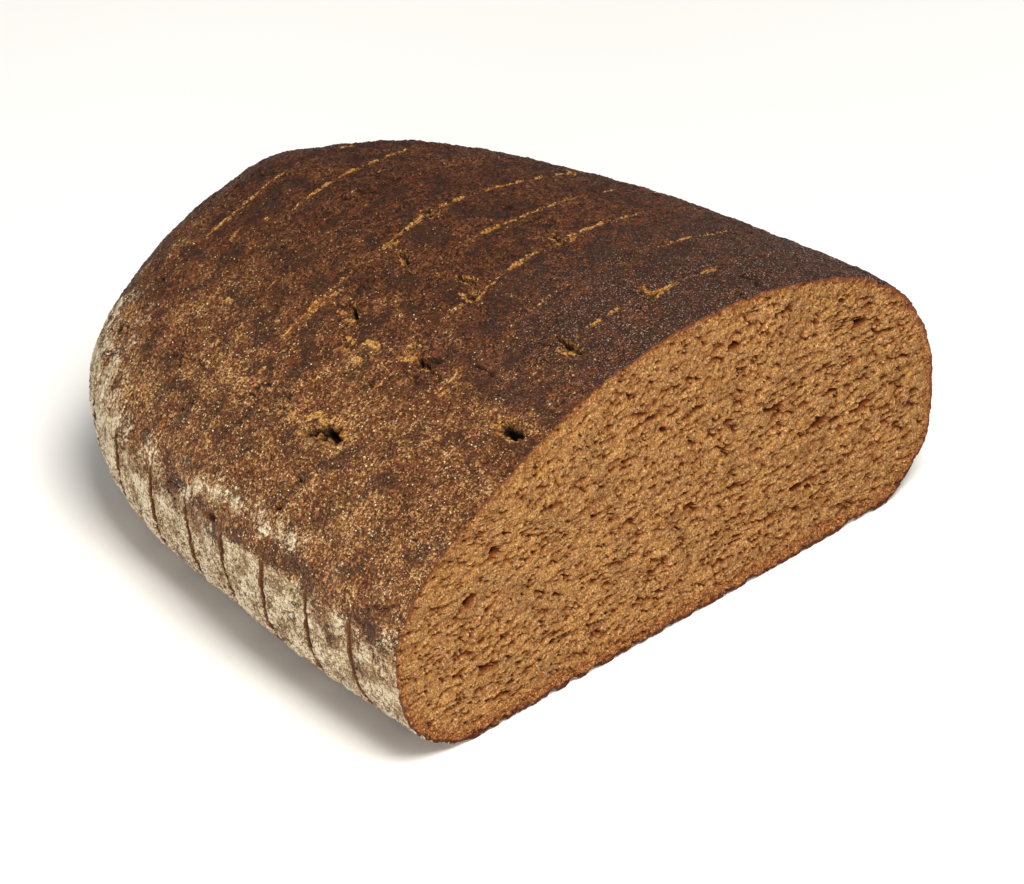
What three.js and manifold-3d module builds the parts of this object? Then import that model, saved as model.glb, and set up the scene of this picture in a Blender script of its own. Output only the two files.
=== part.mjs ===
// Half of a dark rye hearth loaf, as a bread slicer leaves it: one open cut face, eight
// slices that still stand together behind it, and the rounded heel at the far end.
//
// Millimetres, +Z up. The loaf lies along Y, its cut face looks towards -Y, and it rests
// on z = 0. The origin is under the middle of its box.

import * as THREE from "three";
import { mergeVertices } from "three/addons/utils/BufferGeometryUtils.js";
import Module from "manifold-3d";

const wasm = await Module();
wasm.setup();

// ---------------------------------------------------------------- driving dimensions

const LOAF_WIDTH = 130;
const LOAF_HEIGHT = 60.8;
const LOAF_LENGTH = 112;
const SLICES = 8;
const SLICE_PITCH = 11.5;
const CUT_GAP = 0.3;

// The crown's ridge runs a little to the left of the middle, and the loaf is widest low
// down, higher on the left than on the right.
const RIDGE_X = -1.9;
const LEFT_BELLY_Z = 0.42 * LOAF_HEIGHT;
const RIGHT_BELLY_Z = 0.19 * LOAF_HEIGHT;
const LEFT_FOOT_INSET = 21.8;
const RIGHT_FOOT_INSET = 11.6;

// Exponents of the four quarter curves of the section: 2 is an ellipse, less is flatter
// between the ends, more is squarer.
const LEFT_CROWN = { across: 1.37, up: 1.84 };
const RIGHT_CROWN = { across: 1.99, up: 3.16 };
const LEFT_FOOT = { across: 2.31, up: 2.31 };
const RIGHT_FOOT = { across: 1.37, up: 1.37 };

// How the section shrinks towards the heel: its left half, its right half, which is the
// rounder one, and upwards. The middle of the heel's end then domes out a little.
const LEFT_TAPER = { start: 1.72, blunt: 5.9 };
const RIGHT_TAPER = { start: 1.64, blunt: 2.66 };
const SIDE_TAPER = { start: 2.16, blunt: 7.7 };
const HEEL_DOME = 5;
const HEEL_NOSE_LENGTH = 18.5;

// Low lumps of the baked crust, as waves round and along the loaf.
const LUMP_HEIGHT = 0.42;
const LUMP_WAVES = 7;
const LUMP_SEED = 411;
const LUMP_FADE_Z = 9;
const LUMPS_ROUND = { least: 2, kinds: 9 };
const LUMPS_ALONG = { least: 0.6, spread: 2.4 };

// The docker's pricks in the top crust: across, along from the cut face, radius, depth.
const PRICKS = [
  { x: -33.2, y: 6.3, radius: 1.8, depth: 4.2 },
  { x: -14.7, y: 12.6, radius: 1.5, depth: 3.4 },
  { x: 3.8, y: 11.6, radius: 1.3, depth: 2.8 },
  { x: -47.9, y: 36.0, radius: 2.2, depth: 4.8 },
  { x: -30.2, y: 30.5, radius: 1.2, depth: 2.4 },
  { x: -13.6, y: 37.2, radius: 1.5, depth: 3.0 },
  { x: 6.3, y: 36.1, radius: 1.5, depth: 3.4 },
  { x: -28.0, y: 51.6, radius: 1.9, depth: 3.8 },
  { x: -14.0, y: 52.3, radius: 1.3, depth: 2.6 },
  { x: -3.8, y: 57.9, radius: 1.3, depth: 3.0 },
];

// The largest pores that the cut face lays open: across, height, half sizes, depth.
const PORES = [
  { x: 45.1, z: 42.1, wide: 2.2, high: 0.9, depth: 2.6 },
  { x: 24.4, z: 33.9, wide: 1.9, high: 1.1, depth: 2.2 },
  { x: 35.2, z: 25.6, wide: 2.6, high: 0.9, depth: 1.8 },
  { x: 38.4, z: 30.9, wide: 2.0, high: 0.9, depth: 1.6 },
  { x: 47.2, z: 24.3, wide: 1.8, high: 0.9, depth: 1.6 },
  { x: 13.4, z: 51.2, wide: 2.0, high: 0.9, depth: 1.6 },
  { x: -42.6, z: 35.6, wide: 1.5, high: 1.1, depth: 1.8 },
  { x: -48.2, z: 28.6, wide: 1.7, high: 1.3, depth: 2.2 },
  { x: -44.3, z: 13.4, wide: 1.6, high: 1.0, depth: 1.8 },
  { x: -50.5, z: 14.9, wide: 1.4, high: 1.0, depth: 1.6 },
  { x: -5.6, z: 45.6, wide: 1.9, high: 0.9, depth: 1.4 },
  { x: 30.7, z: 14.6, wide: 2.6, high: 0.9, depth: 1.8 },
];

// Mesh steps: points round the section, rings along a slice and over the heel.
const ROUND_STEPS = 104;
const SLICE_RINGS = 4;
const HEEL_RINGS = 15;
const PIT_STEPS = 10;
const PIT_RINGS = 6;
const CURVE_STEPS = 60;
const HEEL_OUTLINE_STEPS = 240;
const WELD_DISTANCE = 1e-4;

// ---------------------------------------------------------------- the loaf's form

const LEFT_WIDTH = LOAF_WIDTH / 2 + RIDGE_X;
const RIGHT_WIDTH = LOAF_WIDTH / 2 - RIDGE_X;
const BELLY_Z = (LEFT_BELLY_Z + RIGHT_BELLY_Z) / 2;
const TAPER_LENGTH = LOAF_LENGTH - HEEL_DOME;
const LAST_CUT = SLICES * SLICE_PITCH;

// One quarter curve from (width, 0) to (0, height), both as fractions raised by an
// exponent of their own.
function quarterCurve(exponents, steps) {
  const points = [];
  for (let i = 0; i < steps; i++) {
    const angle = (i / steps) * (Math.PI / 2);
    points.push({
      across: Math.cos(angle) ** (2 / exponents.across),
      up: Math.sin(angle) ** (2 / exponents.up),
    });
  }
  return points;
}

// The whole section at the cut face, anticlockwise from the belly on the right. A foot's
// curve starts at its belly and ends where the flat base begins.
function sectionCurve() {
  const curve = [];
  const add = (x, z) => curve.push(new THREE.Vector2(x, z));
  for (const p of quarterCurve(RIGHT_CROWN, CURVE_STEPS))
    add(RIGHT_WIDTH * p.across, RIGHT_BELLY_Z + (LOAF_HEIGHT - RIGHT_BELLY_Z) * p.up);
  add(0, LOAF_HEIGHT);
  for (const p of quarterCurve(LEFT_CROWN, CURVE_STEPS).reverse())
    add(-LEFT_WIDTH * p.across, LEFT_BELLY_Z + (LOAF_HEIGHT - LEFT_BELLY_Z) * p.up);
  for (const p of quarterCurve(LEFT_FOOT, CURVE_STEPS))
    add(-LEFT_WIDTH + LEFT_FOOT_INSET * (1 - p.across), LEFT_BELLY_Z * (1 - p.up));
  add(-LEFT_WIDTH + LEFT_FOOT_INSET, 0);
  add(RIGHT_WIDTH - RIGHT_FOOT_INSET, 0);
  for (const p of quarterCurve(RIGHT_FOOT, CURVE_STEPS).reverse())
    add(RIGHT_WIDTH - RIGHT_FOOT_INSET * (1 - p.across), RIGHT_BELLY_Z * (1 - p.up));
  return curve;
}

// The same curve as points at equal distances along it.
function evenlySpaced(curve, count, closed) {
  const path = closed ? [...curve, curve[0]] : curve;
  const reach = [0];
  for (let i = 1; i < path.length; i++)
    reach.push(reach[i - 1] + path[i].distanceTo(path[i - 1]));
  const total = reach[reach.length - 1];
  const steps = closed ? count : count - 1;
  const points = [];
  let piece = 1;
  for (let i = 0; i < count; i++) {
    const want = (total * i) / steps;
    while (piece < path.length - 1 && reach[piece] < want) piece++;
    const part = (want - reach[piece - 1]) / (reach[piece] - reach[piece - 1] || 1);
    points.push(path[piece - 1].clone().lerp(path[piece], Math.min(part, 1)));
  }
  return points;
}

const SECTION = evenlySpaced(sectionCurve(), ROUND_STEPS, true);

// How wide and high the section still is at a distance from the cut face, 1 at the face
// and 0 at the heel's tip.
function taper(along, law) {
  const part = THREE.MathUtils.clamp(along / TAPER_LENGTH, 0, 1);
  return Math.max(1 - part ** law.start, 0) ** (1 / law.blunt);
}

// How far the underside still reaches down from the belly: all the way, and round the
// heel's nose a quarter of an ellipse.
function undersideReach(along) {
  const past = along - (TAPER_LENGTH - HEEL_NOSE_LENGTH);
  if (past <= 0) return 1;
  return Math.sqrt(Math.max(1 - (past / HEEL_NOSE_LENGTH) ** 2, 0));
}

// How far the heel's rings move outwards: not at all at the last cut, most at the tip.
function heelDome(along) {
  if (along <= LAST_CUT) return 0;
  const part = taper(along, LEFT_TAPER) / taper(LAST_CUT, LEFT_TAPER);
  return HEEL_DOME * (1 - part ** 2) ** 2;
}

// A seeded draw, the same on every run (mulberry32).
function seededDraw(seed) {
  let state = seed;
  return () => {
    state = (state + 0x6d2b79f5) | 0;
    let mixed = Math.imul(state ^ (state >>> 15), 1 | state);
    mixed = (mixed + Math.imul(mixed ^ (mixed >>> 7), 61 | mixed)) ^ mixed;
    return ((mixed ^ (mixed >>> 14)) >>> 0) / 2 ** 32;
  };
}

// The crust's low lumps: a few waves that close round the section.
function lumpWaves() {
  const draw = seededDraw(LUMP_SEED);
  const waves = [];
  for (let i = 0; i < LUMP_WAVES; i++)
    waves.push({
      round: LUMPS_ROUND.least + Math.floor(draw() * LUMPS_ROUND.kinds),
      along: (LUMPS_ALONG.least + draw() * LUMPS_ALONG.spread) * 2 * Math.PI,
      phase: draw() * 2 * Math.PI,
    });
  return waves;
}

const WAVES = lumpWaves();

function lump(index, along, z) {
  const round = (index / ROUND_STEPS) * 2 * Math.PI;
  let sum = 0;
  for (const wave of WAVES)
    sum += Math.sin(wave.round * round + (wave.along * along) / TAPER_LENGTH + wave.phase);
  return LUMP_HEIGHT * (sum / Math.sqrt(LUMP_WAVES)) * Math.min(z / LUMP_FADE_Z, 1);
}

// One ring of the loaf's outside, in the part's frame. A lump moves a point in or out
// from the middle of the section, and the base stays flat.
function ring(along) {
  const leftwards = taper(along, LEFT_TAPER);
  const rightwards = taper(along, RIGHT_TAPER);
  const upwards = taper(along, SIDE_TAPER);
  const downwards = undersideReach(along);
  const y = along + heelDome(along) - LOAF_LENGTH / 2;
  return SECTION.map((p, index) => {
    const rise = p.y - BELLY_Z;
    const reach = Math.hypot(p.x, rise) || 1;
    const scale = 1 + lump(index, along, p.y) / reach;
    const z = BELLY_Z + rise * scale * (rise > 0 ? upwards : downwards);
    const x = p.x * scale * (p.x < 0 ? leftwards : rightwards) + RIDGE_X;
    return new THREE.Vector3(x, y, z);
  });
}

// ---------------------------------------------------------------- solids

// A closed surface over a row of rings, with a flat cap at the front. The far end is a
// flat cap too, or runs together in one tip.
function solidFromRings(rings, tip) {
  const count = rings[0].length;
  const positions = rings.flat();
  const triangles = [];
  for (let r = 0; r + 1 < rings.length; r++)
    for (let i = 0; i < count; i++) {
      const a = r * count + i;
      const b = r * count + ((i + 1) % count);
      triangles.push([a, b, b + count], [a, b + count, a + count]);
    }
  const cap = (start, flip) => {
    const outline = positions.slice(start, start + count);
    const flat = outline.map((p) => new THREE.Vector2(p.x, p.z));
    for (const [a, b, c] of THREE.ShapeUtils.triangulateShape(flat, []))
      triangles.push(flip ? [start + a, start + c, start + b] : [start + a, start + b, start + c]);
  };
  const last = (rings.length - 1) * count;
  cap(0, true);
  if (tip) {
    positions.push(tip);
    for (let i = 0; i < count; i++)
      triangles.push([last + i, last + ((i + 1) % count), positions.length - 1]);
  } else {
    cap(last, false);
  }
  const geometry = new THREE.BufferGeometry().setFromPoints(positions);
  geometry.setIndex(triangles.flat());
  return geometry;
}

function toManifold(geometry) {
  const bare = geometry.clone();
  bare.deleteAttribute("normal");
  bare.deleteAttribute("uv");
  const merged = mergeVertices(bare, WELD_DISTANCE);
  const mesh = new wasm.Mesh({
    numProp: 3,
    vertProperties: new Float32Array(merged.attributes.position.array),
    triVerts: new Uint32Array(merged.index.array),
  });
  const solid = new wasm.Manifold(mesh);
  if (solid.volume() > 0) return solid;
  for (let i = 0; i < mesh.triVerts.length; i += 3)
    [mesh.triVerts[i + 1], mesh.triVerts[i + 2]] = [mesh.triVerts[i + 2], mesh.triVerts[i + 1]];
  return new wasm.Manifold(mesh);
}

function toGeometry(solid) {
  const mesh = solid.getMesh();
  const geometry = new THREE.BufferGeometry();
  geometry.setAttribute("position", new THREE.BufferAttribute(mesh.vertProperties, 3));
  geometry.setIndex(new THREE.BufferAttribute(mesh.triVerts, 1));
  geometry.computeVertexNormals();
  return geometry;
}

// An egg-shaped pit, given by its middle and its three half sizes.
function pit(x, y, z, halfX, halfY, halfZ) {
  const geometry = new THREE.SphereGeometry(1, PIT_STEPS, PIT_RINGS);
  geometry.scale(halfX, halfY, halfZ);
  geometry.translate(x, y, z);
  return toManifold(geometry);
}

// The crust's height over a point of the plan.
function crownHeight(x, along) {
  const points = ring(along);
  let height = 0;
  for (let i = 0; i < points.length; i++) {
    const a = points[i];
    const b = points[(i + 1) % points.length];
    if ((a.x - x) * (b.x - x) > 0 || a.x === b.x) continue;
    const z = a.z + ((b.z - a.z) * (x - a.x)) / (b.x - a.x);
    height = Math.max(height, z);
  }
  return height;
}

function prickPits() {
  return PRICKS.map((p) =>
    pit(p.x, p.y - LOAF_LENGTH / 2, crownHeight(p.x, p.y), p.radius, p.radius, p.depth),
  );
}

function porePits() {
  return PORES.map((p) => pit(p.x, -LOAF_LENGTH / 2, p.z, p.wide, p.depth, p.high));
}

// ---------------------------------------------------------------- pieces

// Where each cut lies, measured from the open face.
const cutAt = (index) => index * SLICE_PITCH;

function sliceRings(index) {
  const front = cutAt(index - 1) + (index > 1 ? CUT_GAP / 2 : 0);
  const back = cutAt(index) - CUT_GAP / 2;
  const rings = [];
  for (let r = 0; r < SLICE_RINGS; r++)
    rings.push(ring(front + ((back - front) * r) / (SLICE_RINGS - 1)));
  return rings;
}

// Where along the loaf its left half has shrunk to a share of its width.
function alongAtWidth(share) {
  return TAPER_LENGTH * (1 - share ** LEFT_TAPER.blunt) ** (1 / LEFT_TAPER.start);
}

// The heel's rings stand at equal steps down its profile, from the last cut to the tip.
// The profile's second measure is the mean of half the width and half the height.
function heelRings() {
  const widest = taper(cutAt(SLICES) + CUT_GAP / 2, LEFT_TAPER);
  const profile = [];
  for (let i = 0; i <= HEEL_OUTLINE_STEPS; i++) {
    const along = alongAtWidth(widest * (1 - i / HEEL_OUTLINE_STEPS));
    const width = (LOAF_WIDTH * (taper(along, LEFT_TAPER) + taper(along, RIGHT_TAPER))) / 4;
    const height = (LOAF_HEIGHT * taper(along, SIDE_TAPER)) / 2;
    profile.push(new THREE.Vector2(along, (width + height) / 2));
  }
  const stations = evenlySpaced(profile, HEEL_RINGS + 1, false);
  return stations.slice(0, HEEL_RINGS).map((p) => ring(p.x));
}

function heelTip() {
  return new THREE.Vector3(RIDGE_X, LOAF_LENGTH / 2, BELLY_Z);
}

const crustMaterial = new THREE.MeshStandardMaterial({ color: 0x4a2e1c, roughness: 0.85 });
const crumbMaterial = new THREE.MeshStandardMaterial({ color: 0x8f5a2a, roughness: 0.95 });

function piece(name, geometry, pits, material) {
  let solid = toManifold(geometry);
  for (const one of pits) solid = solid.subtract(one);
  const mesh = new THREE.Mesh(toGeometry(solid), material);
  mesh.name = name;
  return mesh;
}

const loaf = new THREE.Group();
const pricks = prickPits();
for (let index = 1; index <= SLICES; index++) {
  const pits = index === 1 ? [...pricks, ...porePits()] : pricks;
  loaf.add(piece(`slice_${index}`, solidFromRings(sliceRings(index)), pits, crumbMaterial));
}
loaf.add(piece("heel", solidFromRings(heelRings(), heelTip()), pricks, crustMaterial));

export default loaf;
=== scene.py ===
# %% [markdown]
# # Half a dark rye loaf, sliced
#
# The thing on the table is half of a hearth loaf of dense rye bread. A bread slicer has cut
# it into eight slices and left the rounded heel, and they still stand together. Its looks
# come from four finishes: the torn crumb of the cut face, the dark baked crust, the flour
# that the dough was rolled in, and the golden streaks where the blade has torn the crust.
#
# The imported solids come first. They are the frame that everything else has to fit, so
# their box is kept.

# %% Load the imported solids
import math

import bpy
import numpy as np
from mathutils import Matrix, Vector


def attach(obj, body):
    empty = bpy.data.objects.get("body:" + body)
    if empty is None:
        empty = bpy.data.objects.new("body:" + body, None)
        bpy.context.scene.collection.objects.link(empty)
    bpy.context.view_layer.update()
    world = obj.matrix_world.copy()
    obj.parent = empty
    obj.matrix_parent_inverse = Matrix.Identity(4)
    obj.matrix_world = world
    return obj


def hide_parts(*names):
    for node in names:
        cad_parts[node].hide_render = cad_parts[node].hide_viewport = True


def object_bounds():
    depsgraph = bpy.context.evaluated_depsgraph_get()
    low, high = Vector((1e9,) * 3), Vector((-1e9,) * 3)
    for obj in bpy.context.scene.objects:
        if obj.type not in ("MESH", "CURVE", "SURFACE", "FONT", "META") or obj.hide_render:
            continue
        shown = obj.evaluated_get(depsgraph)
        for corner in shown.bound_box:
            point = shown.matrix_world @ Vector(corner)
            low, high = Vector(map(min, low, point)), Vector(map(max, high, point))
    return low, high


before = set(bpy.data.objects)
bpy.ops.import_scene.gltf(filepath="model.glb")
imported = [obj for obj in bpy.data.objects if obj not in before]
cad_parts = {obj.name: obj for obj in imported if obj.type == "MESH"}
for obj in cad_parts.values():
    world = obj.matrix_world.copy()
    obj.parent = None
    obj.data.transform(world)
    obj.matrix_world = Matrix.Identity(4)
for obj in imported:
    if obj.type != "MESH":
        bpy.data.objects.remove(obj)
cad_low, cad_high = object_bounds()
MM = 0.001
print("solids:", sorted(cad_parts))
print("box in mm:", [round(v / MM, 1) for v in (*cad_low, *cad_high)])

# %% [markdown]
# ## Camera
#
# The loaf is seen from the front left and from above, through a long lens, so its lines
# stay nearly parallel. A camera could be aimed with a Track To constraint, but a matrix
# made from three directions says the same in one place and allows a little roll.

# %% Camera
CAMERA_AZIMUTH = math.radians(44.16)
CAMERA_ELEVATION = math.radians(33.61)
CAMERA_ROLL = math.radians(0.39)
CAMERA_DISTANCE = 957.2 * MM
CAMERA_AIM = Vector((13.27, -2.36, 6.13)) * MM
CAMERA_LENS = 187.8
CAMERA_SENSOR = 36.0
CAMERA_CLIP = 0.01

level = math.cos(CAMERA_ELEVATION)
back = Vector((-math.sin(CAMERA_AZIMUTH) * level, -math.cos(CAMERA_AZIMUTH) * level,
               math.sin(CAMERA_ELEVATION)))
right = Vector((math.cos(CAMERA_AZIMUTH), -math.sin(CAMERA_AZIMUTH), 0))
up = back.cross(right)
turned_right = math.cos(CAMERA_ROLL) * right + math.sin(CAMERA_ROLL) * up
turned_up = math.cos(CAMERA_ROLL) * up - math.sin(CAMERA_ROLL) * right

camera = bpy.data.objects.new("camera", bpy.data.cameras.new("camera"))
camera.data.lens = CAMERA_LENS
camera.data.sensor_width = CAMERA_SENSOR
camera.data.clip_start = CAMERA_CLIP
camera.matrix_world = Matrix((turned_right, turned_up, back)).transposed().to_4x4()
camera.location = CAMERA_AIM + back * CAMERA_DISTANCE
bpy.context.scene.collection.objects.link(camera)
bpy.context.scene.camera = camera
print("camera stands at", [round(v, 3) for v in camera.location], "m")

# %% [markdown]
# ## Floor and light
#
# Bread looks dry and dull in hard light, so three large soft panels light it: a strong one
# high up, a low one at the left for the floured flank and a faint one in front. The pores
# of the crumb are dark under their upper lips because most of the light comes from above.
# The floor is plain and nearly white.

# %% Floor, lamps and sky
FLOOR_SIZE = 6.0
FLOOR_DROP = 0.15 * MM
LAMP_AIM = Vector((0, 0, 0.03))
SKY_STRENGTH = 0.26


def srgb(code):
    """A hex colour as linear red, green and blue, with a full alpha."""
    parts = [int(code[i:i + 2], 16) / 255 for i in (0, 2, 4)]
    linear = [p / 12.92 if p <= 0.04045 else ((p + 0.055) / 1.055) ** 2.4 for p in parts]
    return (*linear, 1.0)


def soft_panel(name, size, place, watts, colour):
    """A square lamp that looks at the loaf; size and place are in metres."""
    lamp = bpy.data.objects.new(name, bpy.data.lights.new(name, "AREA"))
    lamp.data.size = size
    lamp.data.energy = watts
    lamp.data.color = srgb(colour)[:3]
    lamp.location = place
    lamp.rotation_euler = (LAMP_AIM - lamp.location).to_track_quat("-Z", "Y").to_euler()
    bpy.context.scene.collection.objects.link(lamp)


floor_mesh = bpy.data.meshes.new("floor")
corners = [(x * FLOOR_SIZE / 2, y * FLOOR_SIZE / 2, -FLOOR_DROP)
           for x, y in ((-1, -1), (1, -1), (1, 1), (-1, 1))]
floor_mesh.from_pydata(corners, [], [(0, 1, 2, 3)])
floor = bpy.data.objects.new("floor", floor_mesh)
bpy.context.scene.collection.objects.link(floor)
floor_paint = bpy.data.materials.new("matt_white_table")
floor_paint.use_nodes = True
floor_shader = floor_paint.node_tree.nodes["Principled BSDF"]
floor_shader.inputs["Base Color"].default_value = srgb("F7F6F4")
floor_shader.inputs["Roughness"].default_value = 0.9
floor_mesh.materials.append(floor_paint)

soft_panel("overhead_panel", 0.42, (-0.16, -0.42, 0.85), 11.5, "FFFCF6")
soft_panel("front_panel", 0.5, (0.15, -0.9, 0.45), 0.4, "FFFBF4")
soft_panel("left_panel", 0.5, (-0.84, -0.46, 0.17), 4.6, "FFFDF8")

sky = bpy.data.worlds.new("even_sky")
sky.use_nodes = True
sky_light = sky.node_tree.nodes["Background"]
sky_light.inputs["Color"].default_value = srgb("F4F6FA")
sky_light.inputs["Strength"].default_value = SKY_STRENGTH
bpy.context.scene.world = sky
bpy.context.scene.view_settings.view_transform = "Standard"
print("floor", FLOOR_SIZE, "m across, three soft panels")

# %% [markdown]
# ## One helper for every node
#
# Geometry Nodes and materials are both trees of nodes. One small function adds a node,
# sets what it is told to set, and links or fills its inputs, so a tree reads from top to
# bottom like a recipe. A node given as an input means its first output.

# %% The node helper
def add(tree, kind, inputs=None, stops=None, **settings):
    """Adds a node; inputs are values, sockets or nodes, and stops fill a colour ramp."""
    node = tree.nodes.new(kind)
    for name, value in settings.items():
        setattr(node, name, value)
    open_sockets = [socket for socket in node.inputs if socket.enabled]
    for key, value in (inputs or {}).items():
        socket = open_sockets[key] if isinstance(key, int) else next(
            socket for socket in open_sockets if socket.name == key)
        if isinstance(value, bpy.types.Node):
            value = next(output for output in value.outputs if output.enabled)
        if isinstance(value, bpy.types.NodeSocket):
            tree.links.new(value, socket)
        else:
            socket.default_value = value
    if stops:
        ramp = node.color_ramp.elements
        for _ in stops[2:]:
            ramp.new(0.5)
        for element, (place, code) in zip(ramp, stops):
            element.position = place
            element.color = srgb(code)
    return node


print("helper ready")

# %% [markdown]
# ## The loaf's form
#
# A hearth loaf is shaped by hand and spreads as it bakes, so its section is a low dome
# that is widest near its foot. Four quarter curves describe it, each a superellipse: an
# ellipse with its exponents changed, so that it may be flatter or squarer. Towards the
# heel the section shrinks by three more such laws: left, right and upwards. The same
# laws shaped the solids, so the finished surface lies on them. It could also be read from
# the solids' own faces, but those are ten times too coarse for crumb and grain.

# %% Sizes of the loaf
LOAF_WIDTH = 130.0
LOAF_HEIGHT = 60.8
LOAF_LENGTH = (cad_high.y - cad_low.y) / MM
SLICES = 8
SLICE_PITCH = 11.5
RIDGE_X = -1.9
LEFT_BELLY_Z = 0.42 * LOAF_HEIGHT
RIGHT_BELLY_Z = 0.19 * LOAF_HEIGHT
BELLY_Z = (LEFT_BELLY_Z + RIGHT_BELLY_Z) / 2
LEFT_WIDTH = LOAF_WIDTH / 2 + RIDGE_X
RIGHT_WIDTH = LOAF_WIDTH / 2 - RIDGE_X
LEFT_FOOT_INSET = 21.8
RIGHT_FOOT_INSET = 11.6
LEFT_TAPER = (1.72, 5.9)
RIGHT_TAPER = (1.64, 2.66)
SIDE_TAPER = (2.16, 7.7)
HEEL_DOME = 5.0
HEEL_NOSE_LENGTH = 18.5
TAPER_LENGTH = LOAF_LENGTH - HEEL_DOME
LAST_CUT = SLICES * SLICE_PITCH
print("loaf", LOAF_WIDTH, "by", round(LOAF_LENGTH, 1), "by", LOAF_HEIGHT, "mm")

# %% [markdown]
# The section is sampled as a closed chain of points, and a place on it is given by its turn:
# the share of the way round, from the middle of the base. Equal turns are equal distances,
# so grid points spread evenly. An angle would crowd them where the dome is flat.

# %% Section and taper
QUARTER_STEPS = 300
# Exponents of each quarter curve, across and up.
RIGHT_CROWN, LEFT_CROWN = (1.99, 3.16), (1.37, 1.84)
LEFT_FOOT, RIGHT_FOOT = (2.31, 2.31), (1.37, 1.37)


def quarter(across, upward):
    """A quarter curve from its belly, as shares of its width and height."""
    angle = np.linspace(0, math.pi / 2, QUARTER_STEPS, endpoint=False)
    return np.cos(angle) ** (2 / across), np.sin(angle) ** (2 / upward)


def section_curve():
    """The section at the cut face in mm, anticlockwise from the belly on the right."""
    right_crown, left_crown = quarter(*RIGHT_CROWN), quarter(*LEFT_CROWN)
    left_foot, right_foot = quarter(*LEFT_FOOT), quarter(*RIGHT_FOOT)
    left_rise, right_rise = LOAF_HEIGHT - LEFT_BELLY_Z, LOAF_HEIGHT - RIGHT_BELLY_Z
    x = [RIGHT_WIDTH * right_crown[0], -LEFT_WIDTH * left_crown[0][::-1],
         -LEFT_WIDTH + LEFT_FOOT_INSET * (1 - left_foot[0]),
         RIGHT_WIDTH - RIGHT_FOOT_INSET * (1 - right_foot[0][::-1])]
    z = [RIGHT_BELLY_Z + right_rise * right_crown[1],
         LEFT_BELLY_Z + left_rise * left_crown[1][::-1],
         LEFT_BELLY_Z * (1 - left_foot[1]), RIGHT_BELLY_Z * (1 - right_foot[1][::-1])]
    return np.stack([np.concatenate(x), np.concatenate(z)], axis=1)


curve = section_curve()
closed = np.vstack([curve, curve[:1]])
curve_reach = np.concatenate([[0], np.cumsum(np.linalg.norm(np.diff(closed, axis=0), axis=1))])
PERIMETER = curve_reach[-1]
BASE_MIDDLE = (RIGHT_WIDTH - RIGHT_FOOT_INSET - LEFT_WIDTH + LEFT_FOOT_INSET) / 2
base_start = curve_reach[3 * QUARTER_STEPS - 1]
BASE_SHARE = (base_start + BASE_MIDDLE + LEFT_WIDTH - LEFT_FOOT_INSET) / PERIMETER


def section_at(turn):
    """Points of the section; turn is the share of the way round from the base's middle."""
    way = ((turn + BASE_SHARE) % 1) * PERIMETER
    return np.interp(way, curve_reach, closed[:, 0]), np.interp(way, curve_reach, closed[:, 1])


def taper(along, law):
    """How much of the section is left at a distance from the cut face."""
    part = np.clip(along / TAPER_LENGTH, 0, 1)
    return np.maximum(1 - part ** law[0], 0) ** (1 / law[1])


print("section", round(PERIMETER), "mm round")

# %% [markdown]
# ## Lumps in the crust
#
# Baked crust isn't even: it has low lumps, a few centimetres wide and less than half a
# millimetre high. The solids got theirs from seven sine waves, each with a seeded phase and
# a seeded number of swings round the section and along the loaf. The same draw is made
# here, so both surfaces rise and fall together.

# %% Lumps and the whole surface
LUMP_HEIGHT = 0.42
LUMP_WAVES = 7
LUMP_SEED = 411
LUMP_FADE_Z = 9.0
LEAST_ROUND, ROUND_CHOICES = 2, 9
LEAST_ALONG, ALONG_RANGE = 0.6, 2.4
WORD = 0xFFFFFFFF


def seeded_draw(seed):
    """Yields the same numbers from 0 to 1 on every run (mulberry32)."""
    state = seed
    while True:
        state = (state + 0x6D2B79F5) & WORD
        mixed = ((state ^ (state >> 15)) * (1 | state)) & WORD
        mixed = ((mixed + (((mixed ^ (mixed >> 7)) * (61 | mixed)) & WORD)) & WORD) ^ mixed
        yield (mixed ^ (mixed >> 14)) / 2 ** 32


draw = seeded_draw(LUMP_SEED)
waves = [(LEAST_ROUND + math.floor(next(draw) * ROUND_CHOICES),
          (LEAST_ALONG + next(draw) * ALONG_RANGE) * 2 * math.pi,
          next(draw) * 2 * math.pi) for _ in range(LUMP_WAVES)]


def loaf_point(turn, along):
    """Points of the loaf's outside in mm, in the solids' frame."""
    x, z = section_at(turn)
    round_angle = ((turn + BASE_SHARE) % 1) * 2 * math.pi
    lump = sum(np.sin(r * round_angle + a * along / TAPER_LENGTH + p) for r, a, p in waves)
    lump = LUMP_HEIGHT * lump / math.sqrt(LUMP_WAVES) * np.minimum(z / LUMP_FADE_Z, 1)
    rise = z - BELLY_Z
    scale = 1 + lump / np.hypot(x, rise)
    past = (along - TAPER_LENGTH + HEEL_NOSE_LENGTH) / HEEL_NOSE_LENGTH
    under = np.sqrt(np.clip(1 - np.maximum(past, 0) ** 2, 0, 1))
    height = rise * scale * np.where(rise > 0, taper(along, SIDE_TAPER), under)
    narrow = np.where(x < 0, taper(along, LEFT_TAPER), taper(along, RIGHT_TAPER))
    inner = np.where(along > LAST_CUT, taper(along, LEFT_TAPER) / taper(LAST_CUT, LEFT_TAPER), 1)
    dome = HEEL_DOME * (1 - inner ** 2) ** 2
    return np.stack([x * scale * narrow + RIDGE_X,
                     along + dome - LOAF_LENGTH / 2, BELLY_Z + height], axis=1)


sample = loaf_point(np.linspace(0, 1, 400), np.full(400, 0.0))
print("width at the face", round(float(np.ptp(sample[:, 0])), 1), "mm")

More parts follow.
